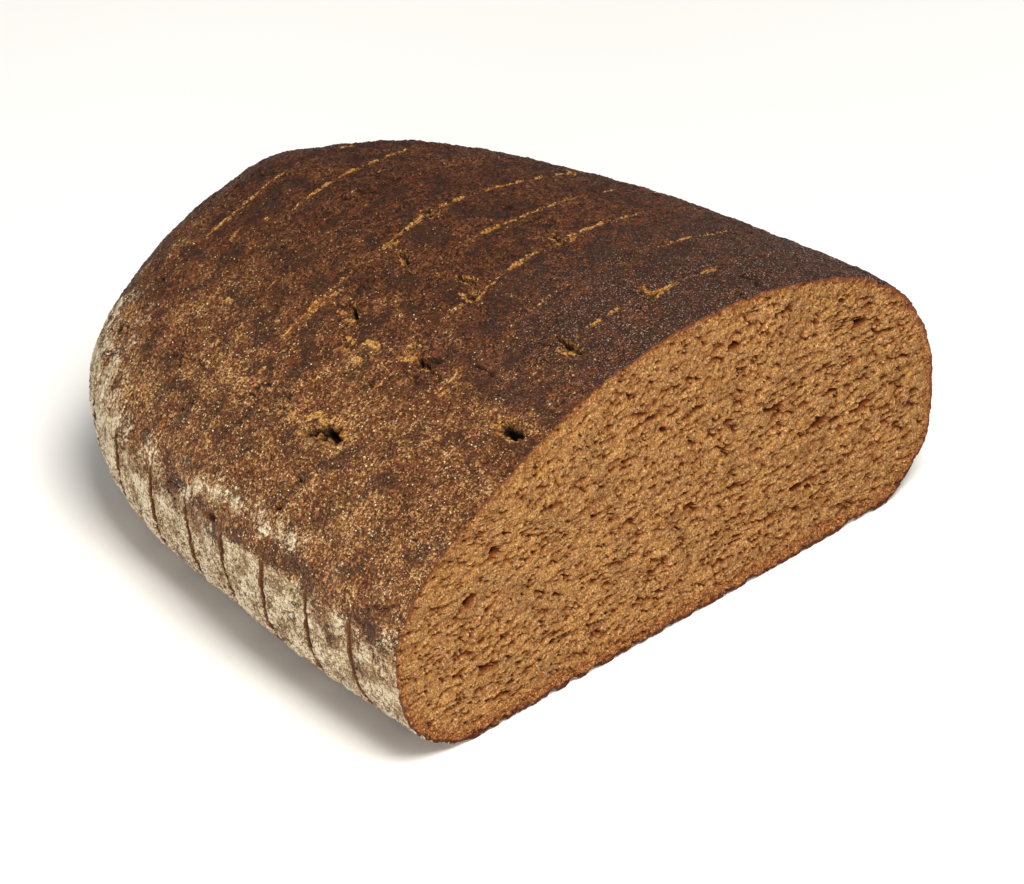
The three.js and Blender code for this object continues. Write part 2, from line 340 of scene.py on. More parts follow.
# %% [markdown]
# ## Prick holes, cracks and torn spots
#
# Before baking, the dough is docked: pricked with pins so that steam gets out. In the
# baked crust the pricks are ragged black slits, each with torn, lighter crumb beside it.
# Every slit or torn spot is a short stroke on the crust, given by its two ends, in
# millimetres round the section and along the loaf, so it lies on the surface wherever that
# curves. A boolean cut would leave smooth walls; sinking a fine mesh under a stroke with
# an uneven edge keeps the torn look.

# %% Slits
# Each slit: round and along of one end, of the other end, width, depth.
SLITS = [
    (213.0, 38.6, 211.7, 37.3, 1.4, 3.0), (213.3, 37.0, 211.7, 37.2, 0.7, 2.5),
    (212.5, 35.5, 210.3, 36.3, 1.2, 3.5), (210.3, 36.3, 211.4, 32.6, 1.2, 3.5),
    (210.6, 36.0, 210.3, 34.1, 1.4, 3.5), (210.6, 34.4, 209.8, 33.5, 0.7, 2.5),
    (193.9, 7.7, 193.9, 4.6, 2.1, 3.6), (194.7, 8.4, 194.1, 7.7, 1.0, 1.5),
    (190.1, 54.2, 189.3, 52.5, 0.8, 3.0), (189.3, 52.5, 188.5, 51.3, 0.7, 3.0),
    (188.5, 51.3, 190.4, 48.7, 0.8, 3.0), (190.6, 31.8, 191.2, 31.1, 1.1, 2.6),
    (192.2, 30.3, 191.2, 30.6, 0.7, 2), (190.9, 29.8, 191.4, 28.8, 0.7, 2),
    (190.1, 34.9, 189.6, 34.3, 0.8, 1.8), (174.4, 53.7, 173.9, 51.9, 1.0, 2.4),
    (174.7, 51.7, 175.3, 50.5, 0.6, 2), (177.1, 49.6, 177.1, 47.6, 0.4, 1.0),
    (170.4, 51.3, 170.1, 50.8, 0.7, 1.4), (172.8, 39.6, 172.3, 37.0, 1.1, 3.0),
    (175.3, 34.6, 174.2, 34.6, 1.1, 2.6), (152.3, 38.9, 151.8, 37.5, 0.5, 1.6),
    (151.8, 37.5, 153.1, 34.6, 0.7, 2.2), (153.4, 33.8, 154.2, 32.0, 0.4, 1.4),
    (174.2, 14.7, 174.2, 11.6, 0.8, 2.4), (175.3, 11.5, 174.4, 10.7, 1.1, 1.8),
    (174.2, 9.9, 174.7, 8.6, 1.0, 2), (155.6, 13.9, 156.4, 9.8, 0.6, 2),
    (155.8, 9.3, 156.1, 8.7, 0.5, 1.6), (163.1, 58.0, 162.8, 56.6, 1.7, 3.2),
    (200.9, 42.4, 200.1, 40.9, 0.8, 1.6), (199.8, 34.9, 199.5, 37.2, 0.5, 0.8),
    (227.1, 35.8, 226.2, 34.3, 0.6, 1.4), (235.7, 49.9, 235.1, 48.5, 1.2, 1.2),
    (220.3, 34.9, 220.6, 33.8, 0.7, 1.2),
]
print(len(SLITS), "slits")

# %% [markdown]
# Torn spots lie beside the slits and wherever the skin of the crust has flaked off. Blots of
# flour are strokes too: wide ones at the flour's upper edge, where it has smeared upwards,
# and between them bare ones, where it was wiped away.

# %% Torn spots and blots of flour
# Each torn spot: round and along of one end, of the other end, width, paleness.
TORN_SPOTS = [
    (210.6, 40.7, 209.2, 39.3, 1.58, 0.48), (210.1, 38.0, 209.2, 36.0, 1.05, 0.6),
    (209.8, 34.9, 208.4, 33.7, 1.27, 0.36), (213.3, 35.7, 212.2, 36.6, 0.45, 0.18),
    (211.4, 32.1, 210.6, 31.4, 1.05, 0.3), (210.3, 33.1, 210.3, 31.8, 0.9, 0.12),
    (194.7, 9.6, 193.9, 8.4, 0.75, 0.3), (194.1, 9.0, 192.5, 10.4, 0.52, 0.3),
    (195.8, 5.5, 194.7, 3.7, 0.75, 0.6), (189.6, 56.5, 186.9, 55.7, 0.75, 0.24),
    (194.7, 56.8, 191.7, 56.3, 0.75, 0.3), (191.7, 49.7, 191.2, 48.4, 0.9, 0.36),
    (190.9, 52.7, 190.9, 50.8, 0.9, 0.06), (192.8, 34.4, 191.4, 32.0, 1.58, 0.24),
    (192.8, 29.7, 192.2, 28.3, 0.52, 0.54), (196.8, 31.2, 196.6, 30.2, 0.75, 0.3),
    (174.2, 57.4, 172.3, 56.2, 0.9, 0.3), (175.3, 52.0, 176.3, 50.7, 0.83, 0.3),
    (175.8, 36.6, 176.1, 34.3, 0.83, 0.3), (176.3, 34.1, 175.3, 33.1, 0.75, 0.3),
    (175.0, 33.2, 172.3, 33.7, 0.75, 0.24), (171.5, 34.1, 170.1, 33.8, 0.52, 0.36),
    (153.7, 36.6, 153.7, 35.5, 0.75, 0.54), (155.0, 34.1, 154.2, 33.5, 0.9, 0.3),
    (152.3, 32.9, 149.9, 34.0, 0.75, 0.18), (176.3, 12.2, 176.3, 10.1, 0.9, 0.3),
    (175.8, 10.1, 175.3, 8.9, 0.75, 0.36), (155.0, 9.9, 152.9, 10.7, 0.83, 0.3),
    (153.1, 11.0, 151.0, 11.0, 0.75, 0.3), (154.5, 13.9, 154.5, 11.2, 0.9, 0.09),
    (121.0, 58.5, 122.6, 56.3, 1.05, 0.3), (197.4, 41.9, 197.1, 40.9, 1.27, 0.6),
    (193.3, 42.6, 193.1, 40.1, 1.42, 0.54), (194.4, 46.8, 194.7, 44.8, 1.05, 0.36),
    (196.8, 46.1, 196.8, 44.2, 0.9, 0.3), (200.6, 73.9, 200.6, 75.0, 1.42, 0.54),
    (156.1, 76.1, 154.7, 76.2, 0.75, 0.42), (189.0, 86.5, 186.3, 87.1, 0.9, 0.24),
    (180.6, 84.2, 180.4, 83.4, 0.9, 0.48), (207.6, 55.9, 208.7, 56.0, 0.75, 0.3),
    (206.3, 65.7, 204.9, 65.5, 0.75, 0.36), (210.1, 67.0, 211.1, 65.5, 0.52, 0.42),
    (211.7, 44.5, 212.5, 42.9, 0.9, 0.24), (209.2, 39.9, 209.2, 38.3, 1.05, 0.42),
    (199.8, 34.3, 198.5, 33.7, 0.9, 0.24), (194.9, 22.3, 193.3, 22.0, 0.9, 0.24),
    (233.8, 76.2, 233.8, 74.7, 0.9, 0.18), (228.9, 45.2, 227.6, 43.8, 0.9, 0.18),
    (227.3, 38.7, 227.9, 37.5, 0.75, 0.24), (237.6, 20.5, 238.4, 19.3, 1.05, 0.18),
    (238.1, 9.5, 240.5, 9.2, 0.9, 0.12), (209.8, 32.9, 209.8, 30.3, 0.75, 0.18),
    (221.9, 34.1, 221.9, 33.2, 0.52, 0.3),
]
# Each blot of flour: round and along of one end, of the other end, width, thicker or barer.
FLOUR_BLOTS = [
    (232.1, 53.0, 232.4, 46.1, 4.6, 0.20), (230.8, 43.9, 229.8, 31.0, 6.0, 0.18),
    (238.6, 44.8, 238.3, 38.0, 4.6, 0.18), (238.3, 33.5, 238.3, 26.3, 4.6, 0.18),
    (233.8, 51.4, 234.3, 43.3, 3.6, -0.22), (234.3, 43.3, 234.0, 34.0, 3.6, -0.22),
    (234.0, 34.0, 234.0, 26.2, 3.2, -0.22),
]
print(len(TORN_SPOTS), "torn spots and", len(FLOUR_BLOTS), "blots of flour")

# %% [markdown]
# One measure serves them all: a point's distance from a stroke's middle line, in half
# widths, made uneven by two crossing waves. The nearer a point is, the deeper it sinks, or
# the more it is torn or floured.

# %% Marks of the strokes
SPOT_REACH = 6.0
# Where an effect starts and where it is full, in half widths from the stroke's middle line.
SLIT_WALL = (1.25, 0.5)
SLIT_RIM = (3.2, 1.3)
SPOT_EDGE = (1.4, 0.5)
BLOT_EDGE = (2.0, 0.3)
SLIT_RIM_TORN = 0.62
EDGE_UNEVEN = 0.35
EDGE_WAVES = ((4.1, 2.3), (-1.7, 3.1))


def smooth(value, low, high):
    """0 below low, 1 above high and a soft step between them, in either direction."""
    part = np.clip((value - low) / (high - low), 0, 1)
    return part * part * (3 - 2 * part)


def stroke_share(around, along, stroke):
    """Distance from a stroke's middle line in half widths, with an uneven edge."""
    u0, v0, u1, v1, width = stroke[:5]
    du, dv = u1 - u0, v1 - v0
    part = np.clip(((around - u0) * du + (along - v0) * dv) / (du * du + dv * dv), 0, 1)
    away = np.hypot(around - u0 - part * du, along - v0 - part * dv)
    first, second = (np.sin(r * around + a * along) for r, a in EDGE_WAVES)
    return away * (1 + EDGE_UNEVEN * first * second) / (width / 2)


def stroke_marks(around, along):
    """At crust points: the depth of slits, the torn share and how pale the torn crumb is."""
    depth, torn, pale = np.zeros((3, len(around)))
    for slit in SLITS:
        near = np.flatnonzero(np.hypot(around - slit[0], along - slit[1]) < SPOT_REACH)
        share = stroke_share(around[near], along[near], slit)
        depth[near] = np.maximum(depth[near], slit[5] * smooth(share, *SLIT_WALL))
        torn[near] = np.maximum(torn[near], SLIT_RIM_TORN * smooth(share, *SLIT_RIM))
    for spot in TORN_SPOTS:
        near = np.flatnonzero(np.hypot(around - spot[0], along - spot[1]) < SPOT_REACH)
        amount = smooth(stroke_share(around[near], along[near], spot), *SPOT_EDGE)
        pale[near] = np.where(amount > torn[near], spot[5], pale[near])
        torn[near] = np.maximum(torn[near], amount)
    return depth, torn, pale


def flour_blots(around, along):
    """How much the listed blots add to the flour or take from it at crust points."""
    extra = np.zeros(len(around))
    for blot in FLOUR_BLOTS:
        extra += blot[5] * smooth(stroke_share(around, along, blot), *BLOT_EDGE)
    return extra


print("strokes reach", SPOT_REACH, "mm at most")

# %% [markdown]
# ## Large pores
#
# A few pores of the crumb are much larger than the rest: half-moon holes, flat below and
# ragged above. Each is an ellipse with an uneven edge that sinks into the cut face.

# %% Large pores
# Each pore: across, height, half width, half height, depth.
PORES = [
    (45.1, 42.1, 1.9, 0.8, 2.6), (24.4, 33.9, 1.9, 0.9, 2.2), (35.2, 25.6, 3.0, 0.8, 1.8),
    (38.4, 30.9, 2.0, 0.6, 1.6), (47.2, 24.3, 1.4, 0.8, 1.6), (13.4, 51.2, 2.0, 0.8, 1.6),
    (-42.6, 35.6, 1.4, 1.1, 2.0), (-48.2, 28.6, 1.6, 1.3, 2.4), (-44.3, 13.4, 1.5, 0.9, 2.0),
    (-50.5, 14.9, 1.4, 0.9, 1.6), (-5.6, 45.6, 1.7, 0.8, 1.4), (30.7, 14.6, 2.2, 0.8, 1.8),
    (26.7, 52.9, 0.9, 0.7, 1.6), (39.1, 46.4, 1.0, 0.6, 1.6), (14.5, 22.1, 1.8, 0.7, 1.2),
    (3.5, 23.1, 1.3, 0.8, 1.1), (-0.1, 23.6, 1.2, 0.8, 1.0),
]
PORE_SEED = 78
PORE_EDGE = ((2, 0.1), (3, 0.16), (7, 0.1))
PORE_WALL = (1.1, 0.55)
PORE_FLATNESS = 1.3


def pore_marks(points):
    """How deep each point of the cut face sinks into a large pore, in mm."""
    rng = np.random.default_rng(PORE_SEED)
    depth = np.zeros(len(points))
    for x, z, half_x, half_z, deep in PORES:
        near = np.flatnonzero(np.hypot(points[:, 0] - x, points[:, 2] - z) < SPOT_REACH)
        across, rise = (points[near, 0] - x) / half_x, (points[near, 2] - z) / half_z
        angle = np.arctan2(rise, across)
        edge = sum(size * np.sin(count * angle + rng.random() * 2 * math.pi) for count, size in PORE_EDGE)
        share = np.hypot(across, rise * np.where(rise < 0, PORE_FLATNESS, 1.0)) * (1 + edge)
        depth[near] = np.maximum(depth[near], deep * smooth(share, *PORE_WALL))
    return depth


print(len(PORES), "large pores")

# %% [markdown]
# ## A mesh for each slice
#
# A slice is a short tube of crust between two cuts. The open face of the first slice and
# the heel's end need an even grid all over, which a tube can't give. There a square grid is
# stretched over the section: each point keeps its direction from the middle and its share
# of the way out to the crust. Grid lines then meet the outline point for point, so the
# piece is closed. Cut faces that touch a neighbour get one flat polygon.

# %% Grids and tubes
BASE_STEPS = 300
FLANK_STEPS = 220
ROUND_STEPS = 2 * (BASE_STEPS + FLANK_STEPS)
ROW_STEP = 0.48
EDGE_ROWS = [0.0, 0.14, 0.3, 0.5, 0.75, 1.05]
FACE_MIDDLE = (0.0, 25.0)
TINY = 1e-9


def square_grid():
    """Every grid point's turn round the section and its share of the way out."""
    i, j = np.meshgrid(np.arange(BASE_STEPS + 1), np.arange(FLANK_STEPS + 1))
    a, b = 2 * i / BASE_STEPS - 1, 2 * j / FLANK_STEPS - 1
    share = np.maximum(np.abs(a), np.abs(b))
    a, b = a / np.maximum(share, TINY), b / np.maximum(share, TINY)
    on_flank = (b > -1 + TINY) & (b < 1 - TINY)
    flank_first = BASE_STEPS / 2 + (b + 1) / 2 * FLANK_STEPS
    crown = BASE_STEPS / 2 + FLANK_STEPS + (1 - a) / 2 * BASE_STEPS
    flank_last = 1.5 * BASE_STEPS + FLANK_STEPS + (1 - b) / 2 * FLANK_STEPS
    step = np.where(b <= -1 + TINY, a * BASE_STEPS / 2, crown)
    step = np.where((a >= 1 - TINY) & on_flank, flank_first, step)
    step = np.where((a <= -1 + TINY) & on_flank, flank_last, step)
    return (step / ROUND_STEPS % 1).ravel(), share.ravel()


def grid_faces(flip):
    """The square grid's quads, and the grid index of each point round its edge."""
    index = np.arange((BASE_STEPS + 1) * (FLANK_STEPS + 1)).reshape(FLANK_STEPS + 1, BASE_STEPS + 1)
    quads = np.stack([index[:-1, :-1], index[:-1, 1:], index[1:, 1:], index[1:, :-1]], axis=-1)
    half = BASE_STEPS // 2
    edge = np.concatenate([index[0, half:-1], index[:-1, -1], index[-1, :0:-1],
                           index[:0:-1, 0], index[0, :half]])
    return (quads[..., ::-1] if flip else quads).reshape(-1, 4), edge


GRID_TURN, GRID_SHARE = square_grid()
print("grid", BASE_STEPS, "by", FLANK_STEPS, "; round", ROUND_STEPS,
      "points,", round(PERIMETER / ROUND_STEPS, 2), "mm apart")

# %% [markdown]
# ## Chipped edges and torn cuts
#
# A slicer's blade tears the hard crust a little, so each cut's edge is chipped: nicks up
# to a millimetre deep, worst along the base. A row of random numbers round the edge, joined
# by straight lines, gives the nicks. The same kind of row makes streaks uneven further on.
# Noise from a texture would do too, but its valleys are round, and a broken edge's aren't.

# %% Chips
CHIP_REACH = 0.95
CHIP_DEPTH = 0.24
BASE_CHIP_DEPTH = 0.9
CHIPPED_HEIGHTS = (0.35, 0.75)
NICK_HEIGHTS = (0.35, 0.95)
BASE_LEAST = 0.35
BASE_TURN = (0.165, 0.14)
GROOVE_DEPTH = 0.25
GROOVE_REACH = 0.4
# Each row of random numbers: a cell's length in mm, and the seed that the cut's number adds to.
RAGGED_ROWS = {"chipped stretch": (7.0, 900), "nick": (1.3, 500), "streak on the right": (5.0, 300),
               "streak width": (1.1, 700), "shaded core": (2.3, 800)}


def ragged(turn, row, cut):
    """A row's random heights from 0 to 1 round a cut, one for each cell, with straight joins."""
    cell, seed = RAGGED_ROWS[row]
    count = int(PERIMETER / cell)
    heights = np.random.default_rng(seed + cut).random(count)
    return np.interp(turn * count, np.arange(count + 1), np.append(heights, heights[0]))


def chip_depth(turn, cut):
    """How deep the edge of a cut is chipped round the section, in mm."""
    patch = smooth(ragged(turn, "chipped stretch", cut), *CHIPPED_HEIGHTS)
    nick = smooth(ragged(turn, "nick", cut), *NICK_HEIGHTS)
    base = smooth(np.minimum(turn, 1 - turn), *BASE_TURN)
    at_base = BASE_CHIP_DEPTH * (BASE_LEAST + (1 - BASE_LEAST) * patch)
    return nick * (CHIP_DEPTH * patch * (1 - base) + at_base * base)


print("chips reach", CHIP_REACH, "mm in from a cut")

# %% [markdown]
# On the crown the blade also lifts crust here and there, and the golden crumb shows as a
# broken streak along the cut. Those are listed cut by cut. Low on the flanks a cut is a thin
# brown line through the flour, the same all along, so a rule is enough there.

# %% Torn streaks
STREAK_HALF_WIDTH = 0.55
STREAK_WIDTHS = (0.4, 0.9)
STREAK_END = 0.8
STREAK_CORE = 0.2
FAINT_LINE = 0.35
CROWN_Z = (30.0, 36.0)
FAR_SIDE_X = (36.0, 42.0)
FAR_SIDE_HEIGHTS = (0.5, 0.8)
FLANK_LINE = 1.1
FLANK_Z = (32.0, 24.0)
LOW_WIDENING = 0.15
# For each cut, where the crown's crust is torn: from x, to x, and how much.
STREAKS = {
    1: [(-13, -11, 0.5), (-9.5, -7, 0.9), (-5, -3, 0.9), (-2, 0.5, 0.6), (5, 11, 1.0), (15, 20, 0.9)],
    2: [(-31, -29, 0.7), (-13, -8, 0.5), (-6, -3, 0.5), (6, 8, 0.6), (16, 22, 0.6), (23, 26, 0.9),
        (27, 38, 0.6)],
    3: [(-38.4, -36.3, 0.6), (-22, -17, 0.7), (-9, -7, 0.5), (-6.3, -3.7, 1.0), (-3.3, 0.6, 0.8),
        (6.6, 9.7, 0.8), (10.7, 16.6, 0.9), (20.8, 23.2, 0.9), (23.7, 26.8, 0.7)],
    4: [(-22, -20.3, 0.7), (-12.3, -8.4, 0.5), (-4.3, -2.4, 0.5), (-1.4, 2.6, 1.0), (3.5, 13.6, 0.7),
        (14.6, 23.7, 0.8), (27.7, 30.7, 0.6)],
    5: [(-46.6, -45.5, 0.7), (-42.5, -41.5, 0.7), (-37.4, -35.4, 0.9), (-33.3, -29.3, 1.0),
        (-28.4, -22.4, 0.7), (-14.3, -9.4, 1.0), (-8.5, -3.5, 0.8), (-0.6, 0.8, 0.9), (2.9, 5.4, 1.0),
        (7.4, 9.5, 0.7), (10.4, 19.4, 1.0), (22.5, 24.5, 0.8), (27.6, 32.7, 0.9)],
    6: [(-36.5, -34.5, 0.6), (-30.4, -28.4, 0.6), (12.3, 15.3, 0.5)],
    7: [(-24.3, -22.5, 0.4), (-14.4, -8.6, 0.7), (-8.6, -4.9, 1.0), (-2.9, 1.5, 1.0), (4.1, 6.1, 0.9),
        (8.1, 13.2, 0.8), (23.3, 26.3, 0.7)],
    8: [(-24.3, -16.4, 0.9), (-15.4, -5.9, 0.7), (-4.0, -0.1, 0.5), (8.0, 11.1, 0.9), (19.2, 23.0, 0.6)],
}


def streak_amount(points, turn, cut):
    """How much torn crumb a cut shows at each point: listed on the crown, steady on a flank."""
    x, z = points[:, 0], points[:, 2]
    crown = np.full(len(points), FAINT_LINE)
    for start, end, amount in STREAKS.get(cut, []):
        started = smooth(x, start - STREAK_END, start + STREAK_CORE)
        here = started * smooth(x, end + STREAK_END, end - STREAK_CORE)
        crown = np.maximum(crown, amount * here)
    broken = smooth(ragged(turn, "streak on the right", cut), *FAR_SIDE_HEIGHTS)
    crown = np.maximum(crown, smooth(x, *FAR_SIDE_X) * broken) * smooth(z, *CROWN_Z)
    return np.maximum(crown, FLANK_LINE * smooth(z, *FLANK_Z))


print(sum(map(len, STREAKS.values())), "torn streaks on", len(STREAKS), "cuts")

# %% [markdown]
# ## Base meshes with their measures
#
# The relief and the colours need to know more than where a point is: how far it is from
# the crust, how deep it has sunk, how far up the floured band it lies and how torn it is.
# Those are worked out here once, and each is stored as an attribute on the mesh. The node
# trees read them by name.

# %% Measures of crust points
FLOUR_TOP = 22.0
FLOUR_TOP_AT_MIDDLE = 25.0
FLOUR_TOP_AT_HEEL = 33.5
FLOUR_BAND = 34.0
FRONT_BAND = 48.0
FLOUR_LEAST = -0.6
LOW_DOWN = (32.0, 22.0)
FRONT_END = (-45.0, -25.0)
HEEL_START = (22.0, 34.0)
STREAK_EDGE = (1.5, 0.4)
STREAK_PALENESS = 0.3
CUT_CORE = (0.32, 0.05)
CORE_DEPTHS = (0.9, 1.1)
MEASURES = ("torn", "pale", "hole", "flour_reach", "rim", "open_face")


def flour_reach(points):
    """How far inside the flour's upper edge each point lies: 0.5 on it, more below it."""
    backward = smooth(points[:, 1], *FRONT_END)
    top = FLOUR_TOP + (FLOUR_TOP_AT_MIDDLE - FLOUR_TOP) * backward
    top += (FLOUR_TOP_AT_HEEL - FLOUR_TOP_AT_MIDDLE) * smooth(points[:, 1], *HEEL_START)
    band = FRONT_BAND + (FLOUR_BAND - FRONT_BAND) * backward
    return (top - points[:, 2]) / band + 0.5


def crust_measures(points, turn, along, edges):
    """Attributes of crust points, and how deep each sinks, for a piece's cuts and their places."""
    sink, torn, pale = stroke_marks(turn * PERIMETER, along)
    hole = sink.copy()
    low_down = smooth(points[:, 2], *LOW_DOWN)
    for cut, place in edges:
        distance = np.abs(along - place)
        sliced = cut > 0
        groove = GROOVE_DEPTH * smooth(distance, GROOVE_REACH, 0.0) * sliced
        sink += np.maximum(chip_depth(turn, cut) * smooth(distance, CHIP_REACH, 0.0), groove)
        uneven = STREAK_WIDTHS[0] + STREAK_WIDTHS[1] * ragged(turn, "streak width", cut)
        width = STREAK_HALF_WIDTH * uneven + LOW_WIDENING * low_down
        streak = streak_amount(points, turn, cut) * smooth(distance / width, *STREAK_EDGE) * sliced
        pale = np.where(streak > torn, STREAK_PALENESS, pale)
        torn = np.maximum(torn, streak)
        # Low on a flank each cut gets a core that the crust material paints nearly black: painted shade in
        # the gap between slices.
        core = low_down * smooth(distance, *CUT_CORE) * sliced
        core_deep = CORE_DEPTHS[0] + CORE_DEPTHS[1] * ragged(turn, "shaded core", cut)
        hole = np.maximum(hole, core * core_deep)
    flour = flour_reach(points) + flour_blots(turn * PERIMETER, along)
    nothing = np.zeros(len(points))
    values = (torn, pale, hole, np.clip(flour, FLOUR_LEAST, 1), nothing, nothing)
    return dict(zip(MEASURES, values)), sink


print("measures:", ", ".join(MEASURES))

# %% [markdown]
# Points of the cut face also need the way out to the crust. Near the rim they follow
# whatever the rim does, less and less over three millimetres, so the grid never folds
# where a chip has moved the edge.

# %% Measures of cut-face points
OUTLINE_STEPS = 960
FOLLOW_REACH = 3.0
NEAREST_BLOCKS = 40


def face_measures(points):
    """Attributes of cut-face points, their way out to the rim and how they move."""
    outline_turn = np.arange(OUTLINE_STEPS) / OUTLINE_STEPS
    outline = loaf_point(outline_turn, np.zeros(OUTLINE_STEPS))[:, [0, 2]]
    tangent = np.roll(outline, -1, axis=0) - np.roll(outline, 1, axis=0)
    normal = np.stack([tangent[:, 1], -tangent[:, 0]], axis=1)
    normal /= np.linalg.norm(normal, axis=1, keepdims=True)
    nearest = np.zeros(len(points), int)
    rim = np.zeros(len(points))
    for block in np.array_split(np.arange(len(points)), NEAREST_BLOCKS):
        gap = np.linalg.norm(points[block][:, None, [0, 2]] - outline[None], axis=2)
        nearest[block] = gap.argmin(axis=1)
        rim[block] = gap.min(axis=1)
    follow = smooth(rim, FOLLOW_REACH, 0.0)
    outward = np.zeros((len(points), 3))
    outward[:, [0, 2]] = normal[nearest] * follow[:, None]
    pores = pore_marks(points)
    move = -outward * chip_depth(outline_turn[nearest], 0)[:, None]
    move[:, 1] = pores
    nothing = np.zeros(len(points))
    return dict(zip(MEASURES, (nothing, nothing, pores, nothing, rim, nothing + 1))), outward, move


print("the face follows its rim for", FOLLOW_REACH, "mm")

# %% [markdown]
# A slice's mesh starts smooth. Its points are then sunk along their outward direction, and
# points on a cut's edge keep to the plane of the cut, so two slices never run into each
# other.

# %% Make a mesh and sink its points
def make_mesh(name, points, faces, measures, crust_count):
    """A mesh in metres with its attributes; its first crust_count faces are crust."""
    mesh = bpy.data.meshes.new(name)
    mesh.from_pydata(points * MM, [], [[int(i) for i in face] for block in faces for face in block])
    for key, values in measures.items():
        layer = mesh.attributes.new(key, "FLOAT", "POINT")
        layer.data.foreach_set("value", values.astype(np.float32))
    flags = np.arange(len(mesh.polygons)) < crust_count
    mesh.attributes.new("crust_face", "BOOLEAN", "FACE").data.foreach_set("value", flags)
    mesh.update()
    return mesh


def outward_of(mesh, edge):
    """The mesh's own normals; on a cut's edge they are turned into the cut's plane."""
    outward = np.zeros(len(mesh.vertices) * 3, np.float32)
    mesh.vertex_normals.foreach_get("vector", outward)
    outward = outward.reshape(-1, 3).astype(float)
    outward[edge, 1] = 0
    outward[edge] /= np.linalg.norm(outward[edge], axis=1, keepdims=True)
    return outward


def place_points(mesh, points, outward):
    """Writes the points, none below the table, and the direction that points out."""
    points[:, 2] = np.maximum(points[:, 2], 0.0)
    mesh.vertices.foreach_set("co", (points * MM).astype(np.float32).ravel())
    layer = mesh.attributes.new("outward", "FLOAT_VECTOR", "POINT")
    layer.data.foreach_set("vector", outward.astype(np.float32).ravel())
    mesh.update()


print("mesh helpers ready")

# %% [markdown]
# The slices are tubes with closely spaced rows at their two cuts, where the chips are.
# The solids are 0.3 mm apart; a real blade leaves less than that, so the pieces here meet
# within a hair's breadth and a dark line is left between them.

# %% Slices
CAP_GAP = 0.12


def rows_between(start, end):
    """Distances along a slice: dense at both cuts, even between them."""
    count = math.ceil((end - start - 2 * EDGE_ROWS[-1]) / ROW_STEP)
    middle = np.linspace(start + EDGE_ROWS[-1], end - EDGE_ROWS[-1], count + 1)[1:-1]
    edges = [start + row for row in EDGE_ROWS] + [end - row for row in EDGE_ROWS]
    return np.sort(np.concatenate([edges, middle]))


def crust_tube(number):
    """A slice's crust: its points, rings of indices, quads, attributes and how deep it sinks."""
    front = 0.0 if number == 1 else (number - 1) * SLICE_PITCH + CAP_GAP / 2
    end = number * SLICE_PITCH - CAP_GAP / 2
    rows = rows_between(front, end)
    turn = np.tile(np.arange(ROUND_STEPS) / ROUND_STEPS, len(rows))
    along = np.repeat(rows, ROUND_STEPS)
    points = loaf_point(turn, along)
    rings = np.arange(len(turn)).reshape(len(rows), ROUND_STEPS)
    after = np.roll(rings, -1, axis=1)
    quads = np.stack([rings[:-1], rings[1:], after[1:], after[:-1]], axis=-1).reshape(-1, 4)
    measures, sink = crust_measures(points, turn, along, [(number - 1, front), (number, end)])
    return points, rings, quads, measures, sink


def inner_slice(number):
    """A slice between two cuts: a tube of crust with a flat polygon at each end."""
    points, rings, quads, measures, sink = crust_tube(number)
    faces = [quads, [rings[0]], [rings[-1][::-1]]]
    mesh = make_mesh(f"slice_{number}_bread", points, faces, measures, len(quads))
    outward = outward_of(mesh, rings[[0, -1]].ravel())
    place_points(mesh, points - outward * sink[:, None], outward)
    return mesh


inner_slices = {f"slice_{number}": inner_slice(number) for number in range(2, SLICES + 1)}
print({name: len(mesh.polygons) for name, mesh in inner_slices.items()})

# %% [markdown]
# The first slice has the open cut face in front. Its grid has the crust's first ring as its
# edge, so the two share those points and nothing has to be merged.

# %% First slice
def first_slice():
    """The first slice: its crust, a flat polygon behind and the open face's grid in front."""
    points, rings, quads, measures, sink = crust_tube(1)
    grid_quads, grid_edge = grid_faces(False)
    inner = np.setdiff1d(np.arange(len(GRID_TURN)), grid_edge)
    outline = loaf_point(GRID_TURN[inner], np.zeros(len(inner)))
    middle = np.array([FACE_MIDDLE[0], outline[0, 1], FACE_MIDDLE[1]])
    face = middle + (outline - middle) * GRID_SHARE[inner, None]
    join = np.zeros(len(GRID_TURN), int)
    join[inner] = len(points) + np.arange(len(inner))
    join[grid_edge] = rings[0]
    face_values, face_outward, face_move = face_measures(face)
    measures = {key: np.concatenate([measures[key], face_values[key]]) for key in MEASURES}
    faces = [quads, [rings[-1][::-1]], join[grid_quads]]
    mesh = make_mesh("slice_1_bread", np.vstack([points, face]), faces, measures, len(quads))
    outward = outward_of(mesh, rings[[0, -1]].ravel())
    outward[len(points):] = face_outward
    crust_points = points - outward[:len(points)] * sink[:, None]
    place_points(mesh, np.vstack([crust_points, face + face_move]), outward)
    return mesh


plain = {"slice_1": first_slice(), **inner_slices}
print("first slice", len(plain["slice_1"].polygons), "faces")

# %% [markdown]
# The heel closes to a blunt nose. The same square grid is drawn over it, and its rings are
# spaced evenly along the heel's profile, a little closer at the cut, where the chips are.

# %% Heel
HEEL_PROFILE_STEPS = 3000
HEEL_RING_BIAS = 0.6


